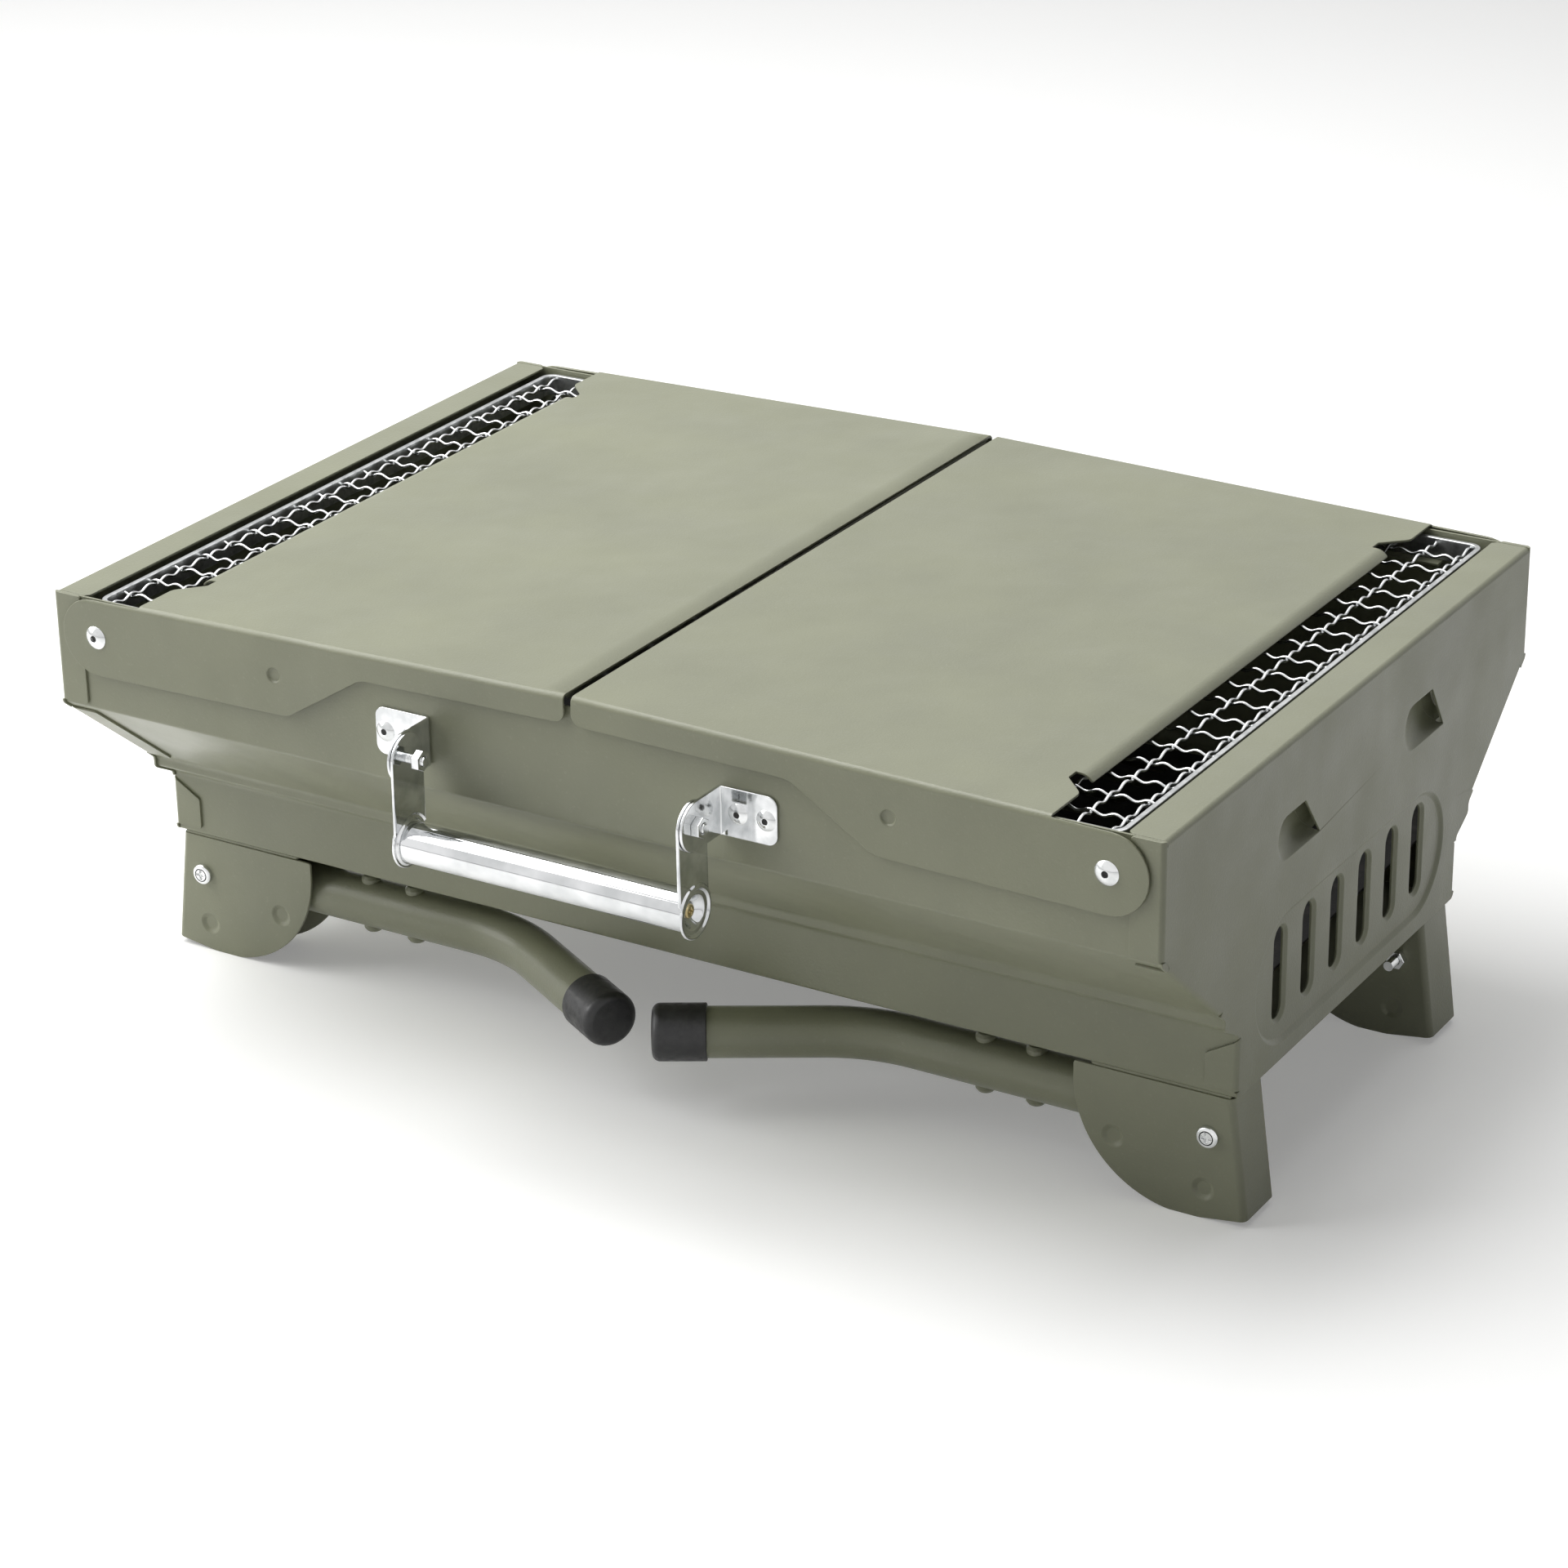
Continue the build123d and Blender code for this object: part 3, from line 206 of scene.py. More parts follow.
def grid(points: Array, normals: Array, close_u: bool = False, close_v: bool = False) -> Surface:
    """Four-sided faces between the rows and columns of a grid of points.

    Args:
        points: rows x columns x 3.
        normals: the same shape.
        close_u: joins the last row to the first.
        close_v: joins the last column to the first.

    Returns:
        The surface, with its faces turned towards the normals.
    """
    rows, columns = points.shape[:2]
    u = np.arange(rows if close_u else rows - 1)
    v = np.arange(columns if close_v else columns - 1)
    a = (u[:, None] * columns + v[None, :]).ravel()
    b = (u[:, None] * columns + (v[None, :] + 1) % columns).ravel()
    c = (((u[:, None] + 1) % rows) * columns + (v[None, :] + 1) % columns).ravel()
    d = (((u[:, None] + 1) % rows) * columns + v[None, :]).ravel()
    faces = np.stack([a, b, c, d], axis=1)
    return Surface(points.reshape(-1, 3), normals.reshape(-1, 3), [faces]).oriented()


def rounded(
    points: Sequence[Sequence[float]], radii: Sequence[float], closed: bool = True, steps: int = 4
) -> tuple[Array, Array]:
    """A polygon with its corners replaced by arcs that touch both sides.

    The heading turns evenly from one side's to the next's over each arc, so a point is the arc's start
    plus radius x (left normal at the start - left normal at the heading), signed by the turn.

    Args:
        points: corners in order, anticlockwise for a closed outline.
        radii: one radius per corner; an open line's ends have none.
        closed: whether the last corner joins the first.
        steps: parts that each arc is divided into.

    Returns:
        The points and their normals to the right of the direction of travel, both n x 2.
    """
    corner = np.array(points, float)
    into = unit(corner - np.roll(corner, 1, axis=0))
    away = unit(np.roll(corner, -1, axis=0) - corner)
    if not closed:
        inner = slice(1, len(corner) - 1)
        ends, first, last = corner[[0, -1]], away[0], into[-1]
        corner, into, away = corner[inner], into[inner], away[inner]
    radius = np.broadcast_to(np.array(radii, float), len(corner))[:, None]
    heading = np.arctan2(into[:, 1], into[:, 0])[:, None]
    cross = into[:, 0] * away[:, 1] - into[:, 1] * away[:, 0]
    turn = np.arctan2(cross, (into * away).sum(axis=1))[:, None]
    start = corner - into * radius * np.tan(np.abs(turn) / 2)
    angle = heading + turn * np.linspace(0, 1, steps + 1)[None, :]
    left = np.stack([-np.sin(angle), np.cos(angle)], axis=-1)
    signed = (np.sign(turn) * radius)[:, :, None]
    line = (start[:, None, :] + signed * (left[:, :1] - left)).reshape(-1, 2)
    normal = -left.reshape(-1, 2)
    if closed:
        return line, normal
    line = np.concatenate([ends[:1], line, ends[1:]])
    tips = np.array([[first[1], -first[0]], [last[1], -last[0]]])
    return line, np.concatenate([tips[:1], normal, tips[1:]])


def angles(count: int) -> Array:
    """Evenly spaced angles round a whole turn, in radians."""
    return np.arange(count) * 2 * np.pi / count


def ring(radius: float, centre: Sequence[float] = (0.0, 0.0), count: int = 32) -> Array:
    """Points of a circle, anticlockwise."""
    angle = angles(count)
    return np.array(centre) + radius * np.stack([np.cos(angle), np.sin(angle)], axis=1)


def stadium(
    centre: Sequence[float], width: float, height: float, grow: float = 0.0, count: int = 12
) -> Array:
    """A slot shape: straight sides with half circles along its longer way, grown by a distance.

    Args:
        centre: its middle.
        width: along x.
        height: along y.
        grow: the distance.
        count: parts of a half circle.

    Returns:
        n x 2 points, anticlockwise.
    """
    radius = min(width, height) / 2
    reach = np.array([width / 2 - radius, height / 2 - radius])
    turn = np.linspace(0, np.pi, count + 1)
    start = -np.pi / 2 if width > height else 0.0
    half = np.stack([np.cos(start + turn), np.sin(start + turn)], axis=1) * (radius + grow)
    return np.array(centre) + np.concatenate([half + reach, -half - reach])


def stadium_distance(flat: Array, centre: Sequence[float], width: float, height: float) -> Array:
    """Distance from a slot shape's edge, negative inside: distance to its middle line less its radius.

    Args:
        flat: n x 2 points, in the pattern.
        centre: its middle.
        width: along x.
        height: along y.

    Returns:
        n distances.
    """
    radius = min(width, height) / 2
    reach = np.array([width / 2 - radius, height / 2 - radius])
    away = np.maximum(np.abs(flat - np.array(centre)) - reach, 0.0)
    return np.linalg.norm(away, axis=1) - radius


def inside(points: Array, loops: Sequence[Array]) -> Array:
    """Even-odd rule: inside is where a ray to the right crosses the loops an odd number of times.

    Args:
        points: n x 2.
        loops: closed outlines.

    Returns:
        n truth values.
    """
    crossings = np.zeros(len(points), int)
    for loop in loops:
        a, b = loop, np.roll(loop, -1, axis=0)
        rise = np.where(a[:, 1] == b[:, 1], 1e-12, b[:, 1] - a[:, 1])
        y = points[:, 1, None]
        at = a[:, 0] + (y - a[:, 1]) / rise * (b[:, 0] - a[:, 0])
        spans = (a[:, 1] > y) != (b[:, 1] > y)
        crossings += (spans & (points[:, 0, None] < at)).sum(axis=1)
    return crossings % 2 == 1


# Sheet metal from flat patterns


@dataclass(frozen=True)
class Frame:
    """A plane in space: flat coordinates (p, q) and a height w along u x v."""

    origin: tuple[float, float, float]
    u: tuple[float, float, float]
    v: tuple[float, float, float]

    def to_space(self, flat: Array, height: Array) -> Array:
        """Origin + p u + q v + height (u x v)."""
        u, v = np.array(self.u, float), np.array(self.v, float)
        return np.array(self.origin) + flat[:, :1] * u + flat[:, 1:] * v + height[:, None] * np.cross(u, v)


def level_plane(z: float) -> Frame:
    """The level plane at a height, with p along x and q along y."""
    return Frame((0.0, 0.0, z), (1.0, 0.0, 0.0), (0.0, 1.0, 0.0))


def side_plane(x: float) -> Frame:
    """The plane that faces right at a distance x, with p along y and q along z."""
    return Frame((x, 0.0, 0.0), (0.0, 1.0, 0.0), (0.0, 0.0, 1.0))


@dataclass(frozen=True)
class Fold:
    """A bend of a flat pattern, away from its outer face.

    Attributes:
        start: a point on the line where the bend starts.
        out: unit direction across the bend, in the pattern.
        radius: radius of the outer face.
        angle: degrees of bend.
        low, high: reach of the bend along its line, from start, to the left of out.
    """

    start: tuple[float, float]
    out: tuple[float, float]
    radius: float
    angle: float
    low: float
    high: float

    def guides(self, steps: int = 5) -> list[Array]:
        """Lines of the pattern that the mesh follows through the bend.

        Args:
            steps: parts of the bend.

        Returns:
            The lines.
        """
        out = np.array(self.out, float)
        along = np.array([-out[1], out[0]])
        ends = np.array(self.start) + np.array([[self.low], [self.high]]) * along
        arc = self.radius * np.radians(self.angle)
        return [ends + out * arc * step / steps for step in range(steps + 1)]


def no_relief(flat: Array) -> Array:
    """A plain sheet."""
    return np.zeros(len(flat))


@dataclass(frozen=True)
class Bent:
    """Takes a flat pattern to its folded shape.

    Across a fold of outer radius r, a point at distance d from its start and at height w over the outer
    face has turned by d / r, up to the fold's angle. It lies (r + w) sin(turn) across and
    (r + w) cos(turn) - r up, and the rest of d runs straight on in the turned direction.
    """

    frame: Frame
    folds: tuple[Fold, ...] = ()
    relief: Callable[[Array], Array] = no_relief

    def __call__(self, flat: Array, height: Array) -> Array:
        """Places points of the pattern, at heights over its outer face, in space.

        Args:
            flat: n x 2 points, in the pattern.
            height: n heights over its outer face.

        Returns:
            n x 3 points in space.
        """
        slack = 0.02  # so that points on the ends of a fold's line take part in it
        lift = height + self.relief(flat)
        place, rise = flat.copy(), lift.copy()
        for fold in self.folds:
            out = np.array(fold.out, float)
            from_start = flat - np.array(fold.start)
            d = from_start @ out
            along = from_start @ np.array([-out[1], out[0]])
            on = (d > 0) & (along > fold.low - slack) & (along < fold.high + slack)
            turn = np.clip(d / fold.radius, 0.0, np.radians(fold.angle))
            rest = np.maximum(d - fold.radius * np.radians(fold.angle), 0.0)
            across = (fold.radius + lift) * np.sin(turn) + rest * np.cos(turn)
            up = (fold.radius + lift) * np.cos(turn) - fold.radius - rest * np.sin(turn)
            place = np.where(on[:, None], flat + (across - d)[:, None] * out, place)
            rise = np.where(on, up, rise)
        return self.frame.to_space(place, rise)


@dataclass
class Blank:
    """A flat pattern: an outline with holes, and lines that its mesh has to follow."""

    outline: Array
    holes: list[Array] = field(default_factory=list)
    loops: list[Array] = field(default_factory=list)
    lines: list[Array] = field(default_factory=list)

    def triangles(self) -> tuple[Array, Array]:
        """Fills the pattern with a constrained Delaunay triangulation and keeps what lies inside it.

        Returns:
            The pattern's points, and the triangles between them.
        """
        closed = [self.outline, *self.holes, *self.loops]
        every = [*closed, *self.lines]
        starts = np.cumsum([0] + [len(one) for one in every])
        edges = []
        for index, one in enumerate(every):
            run = np.arange(len(one)) + starts[index]
            pairs = np.stack([run, np.roll(run, -1)], axis=1)
            edges.append(pairs if index < len(closed) else pairs[:-1])
        corners = [Vector(corner) for corner in np.concatenate(every).tolist()]
        made = delaunay_2d_cdt(corners, np.concatenate(edges).tolist(), [], 0, 1e-5)
        flat, faces = np.array([list(corner) for corner in made[0]]), np.array(made[2])
        keep = inside(flat[faces].mean(axis=1), [self.outline, *self.holes])
        faces = faces[keep]
        used, index = np.unique(faces, return_inverse=True)
        flat, faces = flat[used], index.reshape(-1, 3)
        a, b, c = (flat[faces[:, i]] for i in range(3))
        area = (b - a)[:, 0] * (c - a)[:, 1] - (b - a)[:, 1] * (c - a)[:, 0]
        return flat, np.where((area < 0)[:, None], faces[:, ::-1], faces)

    def solid(self, place: Place, thickness: float, edge: float = 0.25, steps: int = 2) -> Surface:
        """Makes the sheet: both faces, and a rim whose section is a half round of radius edge at each side.

        On the rim at angle t from the face's normal, a point lies edge x (1 - sin t) inside the outline
        and edge x (1 - cos t) below the face.

        Args:
            place: takes points of the pattern and heights over the outer face to space.
            thickness: of the sheet, in mm.
            edge: radius that the cut edges are rounded with.
            steps: parts of each quarter round.

        Returns:
            The closed surface.
        """
        flat, faces = self.triangles()
        count = len(flat)
        half = np.concatenate([faces[:, [0, 1]], faces[:, [1, 2]], faces[:, [2, 0]]])
        border = half[~np.isin(half[:, 0] * count + half[:, 1], half[:, 1] * count + half[:, 0])]
        along = unit(flat[border[:, 1]] - flat[border[:, 0]])
        right = np.stack([along[:, 1], -along[:, 0]], axis=1)
        outward = np.zeros((count, 2))
        np.add.at(outward, border[:, 0], right)
        np.add.at(outward, border[:, 1], right)
        rim = np.unique(border)
        slot = np.full(count, -1)
        slot[rim] = np.arange(len(rim))
        out2 = unit(outward[rim])
        inset = flat.copy()
        inset[rim] -= edge * out2

        def level(depth: float, size: int) -> Array:
            """The same depth for each of a number of points."""
            return np.full(size, depth)

        def normal(points: Array, depth: float) -> Array:
            """Unit normals of the placed sheet at a depth, from differences along the pattern."""
            shift, deep = np.eye(2) * TINY, level(depth, len(points))
            du = place(points + shift[0], deep) - place(points - shift[0], deep)
            dv = place(points + shift[1], deep) - place(points - shift[1], deep)
            up = place(points, deep + TINY) - place(points, deep - TINY)
            across = np.cross(du, dv)
            return unit(across * np.sign((across * up).sum(axis=1))[:, None])

        parts_points = [place(inset, level(0.0, count)), place(inset, level(-thickness, count))]
        parts_normals = [normal(inset, 0.0), -normal(inset, -thickness)]
        quarter = np.linspace(0, np.pi / 2, steps + 1)
        top = [(t, -edge * (1 - np.cos(t))) for t in quarter]
        bottom = [(np.pi - t, edge * (1 - np.cos(t)) - thickness) for t in quarter[::-1]]
        index = [rim]
        for t, depth in [*top, *bottom][1:-1]:
            points = flat[rim] - edge * (1 - np.sin(t)) * out2
            deep = level(depth, len(rim))
            outwards = unit(place(points + TINY * out2, deep) - place(points - TINY * out2, deep))
            index.append(sum(map(len, parts_points)) + np.arange(len(rim)))
            parts_points.append(place(points, deep))
            parts_normals.append(unit(np.cos(t) * normal(points, depth) + np.sin(t) * outwards))
        index.append(rim + count)
        a, b = slot[border[:, 0]], slot[border[:, 1]]
        levels = zip(index, index[1:])
        sides = [np.stack([low[a], low[b], high[b], high[a]], axis=1) for low, high in levels]
        surface = Surface(
            np.concatenate(parts_points),
            np.concatenate(parts_normals),
            [faces, faces[:, ::-1] + count, np.concatenate(sides)],
        )
        return surface.oriented()


# Round shapes


def turned_solid(profile: Array, normals: Array, count: int = 40) -> Surface:
    """A profile (radius, z) carried round the z axis: x = r cos a, y = r sin a.

    Args:
        profile: n x 2 radii and heights.
        normals: n x 2, the same way.
        count: points round the axis.

    Returns:
        The surface.
    """
    angle = angles(count)
    c, s = np.cos(angle), np.sin(angle)
    r, z = profile[:, 0, None], profile[:, 1, None]
    nr, nz = normals[:, 0, None], normals[:, 1, None]
    points = np.stack([r * c, r * s, z + 0 * c], axis=-1)
    facing = np.stack([nr * c, nr * s, nz + 0 * c], axis=-1)
    return grid(points, facing, close_v=True).welded()


def lathe(
    corners: Sequence[Sequence[float]], radii: Sequence[float], count: int = 40, steps: int = 4
) -> Surface:
    """Turns a profile that starts and ends on the z axis and runs up its outside, corners rounded."""
    line, normal = rounded(corners, radii, closed=False, steps=steps)
    return turned_solid(line, normal, count)


def spokes(side: Array, up: Array, count: int) -> Array:
    """Unit vectors round each point of a path: cos a side + sin a up, as rows x count x 3."""
    angle = angles(count)[None, :, None]
    return np.cos(angle) * side[:, None, :] + np.sin(angle) * up[:, None, :]


def pipe(
    centre: Array, side: Array, up: Array, radius: Array, lean: Array | None = None, count: int = 32
) -> Surface:
    """A circle carried along a path: centre + r (cos a side + sin a up).

    Args:
        centre: n x 3 points of the path.
        side: n x 3 unit vectors across the path.
        up: n x 3 unit vectors across the path, at right angles to side.
        radius: n radii.
        lean: n angles that the normals lean towards the way of travel, where the radius changes.
        count: points round the circle.

    Returns:
        The surface, open at ends where the radius isn't 0.
    """
    round_about = spokes(side, up, count)
    points = centre[:, None, :] + radius[:, None, None] * round_about
    if lean is None:
        normals = round_about
    else:
        ahead = np.cross(side, up)[:, None, :]
        normals = np.cos(lean)[:, None, None] * round_about + np.sin(lean)[:, None, None] * ahead
    return grid(points, normals, close_v=True).welded()


def round_ended(centre: Array, side: Array, up: Array, radius: float, count: int = 32) -> Surface:
    """A pipe whose two ends are closed by half balls beyond the path's ends.

    Args:
        centre: n x 3 points of the path.
        side: n x 3 unit vectors across it.
        up: n x 3 unit vectors, at right angles to side.
        radius: of the pipe.
        count: points round it.

    Returns:
        The surface.
    """
    ahead = np.cross(side, up)
    t = np.linspace(np.pi / 2, 0, 7)[:-1]
    start = centre[0] - ahead[0] * (radius * np.sin(t))[:, None]
    finish = centre[-1] + ahead[-1] * (radius * np.sin(t[::-1]))[:, None]
    ends = [np.repeat(v[:1], len(t), axis=0) for v in (side, up)]
    tails = [np.repeat(v[-1:], len(t), axis=0) for v in (side, up)]
    flat = np.zeros(len(centre))
    return pipe(
        np.concatenate([start, centre, finish]),
        np.concatenate([ends[0], side, tails[0]]),
        np.concatenate([ends[1], up, tails[1]]),
        radius * np.concatenate([np.cos(t), flat + 1, np.cos(t[::-1])]),
        np.concatenate([-t, flat, t[::-1]]),
        count,
    )


def rivet_head(
    radius: float, rise: float, hollow: float = 0.0, sunk: float = 0.3, count: int = 40
) -> Surface:
    """A low dome on a straight skirt: r = B sin t, z = rise - B + B cos t, with B the ball's radius.

    Args:
        radius: of the head.
        rise: height of the dome over z = 0.
        hollow: radius of the hole that a pulled mandrel leaves, or 0.
        sunk: how far the skirt reaches below z = 0.
        count: points round the head.

    Returns:
        The closed surface, its axis on z.
    """
    brow = 0.12  # height of the soft edge between dome and skirt
    floor = 0.1  # height of the hollow's floor
    soft = 0.16  # how far the hollow's mouth is drawn in
    ball = (radius**2 + rise**2) / (2 * rise)
    t = np.linspace(np.arcsin(hollow / ball), np.arcsin(min(radius / ball, 1.0)) * 0.985, 12)
    dome = np.stack([ball * np.sin(t), rise - ball + ball * np.cos(t)], axis=1)
    facing = np.stack([np.sin(t), np.cos(t)], axis=1)
    skirt = np.array([[radius, dome[-1, 1] - brow], [radius, -sunk], [radius, -sunk], [0.0, -sunk]])
    skirt_facing = np.array([[1.0, 0.0], [1.0, 0.0], [0.0, -1.0], [0.0, -1.0]])
    line, normal = [dome, skirt], [facing, skirt_facing]
    if hollow:
        wall = hollow - soft
        mouth = dome[0, 1] - soft
        line.insert(0, np.array([[0.0, floor], [wall, floor], [wall, floor], [wall, mouth]]))
        normal.insert(0, np.array([[0.0, 1.0], [0.0, 1.0], [-1.0, 0.0], [-1.0, 0.0]]))
    return turned_solid(np.concatenate(line), np.concatenate(normal), count)


MANDREL_GAP = 0.2  # between a pulled mandrel's end and the hole that it stands in


def mandrel_end(radius: float, top: float, count: int = 24) -> Surface:
    """The broken end of a pulled rivet's mandrel, a small disc that stands in the head's hole; the pieces
    made from it are given the black plate finish, painted shade that darkens the hole.

    Args:
        radius: of the disc.
        top: its height over z = 0.
        count: points round it.

    Returns:
        The closed surface, its axis on z.
    """
    foot = -0.2
    return lathe([(0.0, foot), (radius, foot), (radius, top), (0.0, top)], [0.05, 0.1], count, 2)


def cross_depth(flat: Array, span: float, width: float, depth: float) -> Array:
    """A screw's cross recess: two soft-sided bars at right angles, the deeper one counting.

    Args:
        flat: points, x and y last.
        span: length of a bar.
        width: of a bar.
        depth: of the recess.

    Returns:
        The depth at each point.
    """
    side = 0.22  # width of the bars' soft sides
    away = np.abs(flat)
    bars = [
        ease((span / 2 - away[..., i]) / side) * ease((width / 2 + side / 2 - away[..., 1 - i]) / side)
        for i in range(2)
    ]
    return depth * np.maximum(*bars)


def pan_head(head: float, rise: float, recess: float, count: int = 96) -> Surface:
    """A pan head over z = 0: a rounded disc whose top is lowered by the cross recess.

    The profile (r, z) is carried round z. Where the top faces up, z loses the recess c(x, y), and its
    normal gains its z part times the slope of c.

    Args:
        head: its diameter.
        rise: its height.
        recess: span of the cross.
        count: points round the axis.

    Returns:
        The surface.
    """
    brim, sunk = rise * 0.86, -0.2
    cross = (recess, recess * 0.26, rise * 0.45)
    top = np.linspace(0.0, recess / 2 + 0.35, 14)[1:-1]
    corners = [(0, rise), (head / 2, brim), (head / 2, 0), (head / 2, sunk), (0, sunk)]
    line, normal = rounded(corners, [rise * 0.5, 0.05, 0.05], closed=False, steps=6)
    fall = (brim - rise) / (head / 2)
    extra = np.stack([top, rise + top * fall], axis=1)
    line = np.concatenate([line[:1], extra, line[1:]])
    normal = np.concatenate([normal[:1], np.repeat(normal[:1], len(extra), axis=0), normal[1:]])
    normal[(line[:, 0] < recess / 2 + 0.3) & (line[:, 1] > rise / 2)] = (0.0, 1.0)
    surface = turned_solid(line, normal, count)
    flat = surface.points[:, :2]
    depth = cross_depth(flat, *cross)
    slope = [(cross_depth(flat + step, *cross) - depth) / TINY for step in np.eye(2) * TINY]
    on = surface.normals[:, 2:] * (surface.points[:, 2:] > rise / 2)
    points, normals = surface.points.copy(), surface.normals.copy()
    points[:, 2] -= depth * on[:, 0]
    normals[:, :2] += on * np.stack(slope, axis=1)
    return Surface(points, unit(normals), surface.faces)


def thread(diameter: float, start: float, end: float, pitch: float = 0.7, count: int = 24) -> Surface:
    """A screw thread from z = start to end: the radius falls by a triangle wave of z / pitch - a / 360.

    Args:
        diameter: over the thread.
        start: its lower z.
        end: its upper z.
        pitch: rise of one turn.
        count: points round the axis.

    Returns:
        The surface.
    """
    per_turn = 8
    groove = 0.38  # depth of the thread
    lead = 0.2  # length over which the groove fades in
    point = 0.5  # length and depth of the tapered end
    z = np.linspace(start, end, int((end - start) / pitch * per_turn) + 1)[:, None]
    angle = angles(count)[None, :]
    phase = (z / pitch - angle / (2 * np.pi)) % 1.0
    wave = np.abs(2 * phase - 1)
    taper = ease((end - z) / point)
    shrink = ease((z - start) / lead) * taper
    radius = diameter / 2 - groove * wave * shrink - point * (1 - taper)
    points = np.stack([radius * np.cos(angle), radius * np.sin(angle), z + 0 * angle], axis=-1)
    tilt = np.where(phase < 0.5, -0.5, 0.5) * shrink
    normals = unit(np.stack([np.cos(angle) + 0 * z, np.sin(angle) + 0 * z, tilt], axis=-1))
    side = grid(points, normals, close_v=True)
    caps = []
    for row, facing in ((0, -1.0), (-1, 1.0)):
        centre = np.zeros((1, count, 3))
        centre[..., 2] = points[row, :, 2].mean()
        disc = np.concatenate([points[row][None], centre])
        caps.append(grid(disc, np.broadcast_to([0.0, 0.0, facing], disc.shape), close_v=True).welded())
    return Surface.joined([side, *caps])


def nut(flats: float, thickness: float, bore: float) -> Surface:
    """A hexagon with a round hole, standing on z = 0 with softly rounded edges.

    Args:
        flats: width across its flats.
        thickness: its thickness.
        bore: diameter of its hole.

    Returns:
        The surface.
    """
    angle = np.arange(6) * np.pi / 3
    corners = flats / np.sqrt(3) * np.stack([np.cos(angle), np.sin(angle)], axis=1)
    outline, _ = rounded(corners, [0.25] * 6, steps=3)
    blank = Blank(outline, holes=[ring(bore / 2, count=28)])
    return blank.solid(Bent(level_plane(thickness)), thickness, edge=0.35, steps=3)


# Shaders


def linear(colour: str) -> tuple[float, float, float, float]:
    """An sRGB hex value as linear red, green, blue and an alpha of 1.

    Args:
        colour: six hex digits after a #.

    Returns:
        Red, green, blue and alpha.
    """
    value = np.array([int(colour[i : i + 2], 16) for i in (1, 3, 5)]) / 255
    value = np.where(value <= 0.04045, value / 12.92, ((value + 0.055) / 1.055) ** 2.4)
    return (*value.tolist(), 1.0)


def add(
    tree: bpy.types.NodeTree, kind: str, inputs: dict[str | int, object] | None = None, **settings: object
) -> bpy.types.Node:
    """Adds a node to a tree.

    Args:
        tree: the node tree.
        kind: the node's type name.
        inputs: values or other nodes' outputs for its inputs, by name or number.
        settings: the node's own properties.

    Returns:
        The new node.
    """
    made = tree.nodes.new(kind)
    for name, value in settings.items():
        setattr(made, name, value)
    for name, value in (inputs or {}).items():
        if isinstance(value, bpy.types.NodeSocket):
            tree.links.new(value, made.inputs[name])
        else:
            made.inputs[name].default_value = value
    return made


def new_material(name: str) -> tuple[bpy.types.Material, bpy.types.NodeTree, bpy.types.NodeSocket]:
    """An empty material, its tree, and Object coordinates in millimetres.

    Args:
        name: its name.

    Returns:
        The material, the tree and the socket of the coordinates.
    """
    material = bpy.data.materials.new(name)
    material.use_nodes = True
    tree = material.node_tree
    tree.nodes.clear()
    coordinates = add(tree, "ShaderNodeTexCoord")
    inputs = {0: coordinates.outputs["Object"], "Scale": 1 / MM}
    scaled = add(tree, "ShaderNodeVectorMath", inputs, operation="SCALE")
    return material, tree, scaled.outputs[0]


def dress(tree: bpy.types.NodeTree, inputs: dict[str | int, object]) -> None:
    """Ends a material with its Principled shader, given the shader's inputs."""
    shader = add(tree, "ShaderNodeBsdfPrincipled", inputs)
    add(tree, "ShaderNodeOutputMaterial", {"Surface": shader.outputs[0]})


def speckle(
    tree: bpy.types.NodeTree,
    where: bpy.types.NodeSocket,
    size: float,
    detail: float = 2.0,
    low: float = 0.0,
    high: float = 1.0,
    start: float = 0.35,
    end: float = 0.65,
) -> bpy.types.NodeSocket:
    """Noise, mapped from start..end to low..high.

    Args:
        tree: the node tree.
        where: coordinates in mm.
        size: of the noise's features, in mm.
        detail: how many finer octaves it has.
        low: value given at start.
        high: value given at end.
        start: noise value where the range begins.
        end: noise value where it ends.

    Returns:
        The socket of the mapped value.
    """
    noise = add(tree, "ShaderNodeTexNoise", {"Vector": where, "Scale": 1 / size, "Detail": detail})
    spread = {"Value": noise.outputs[0], "From Min": start, "From Max": end, "To Min": low, "To Max": high}
    return add(tree, "ShaderNodeMapRange", spread).outputs[0]


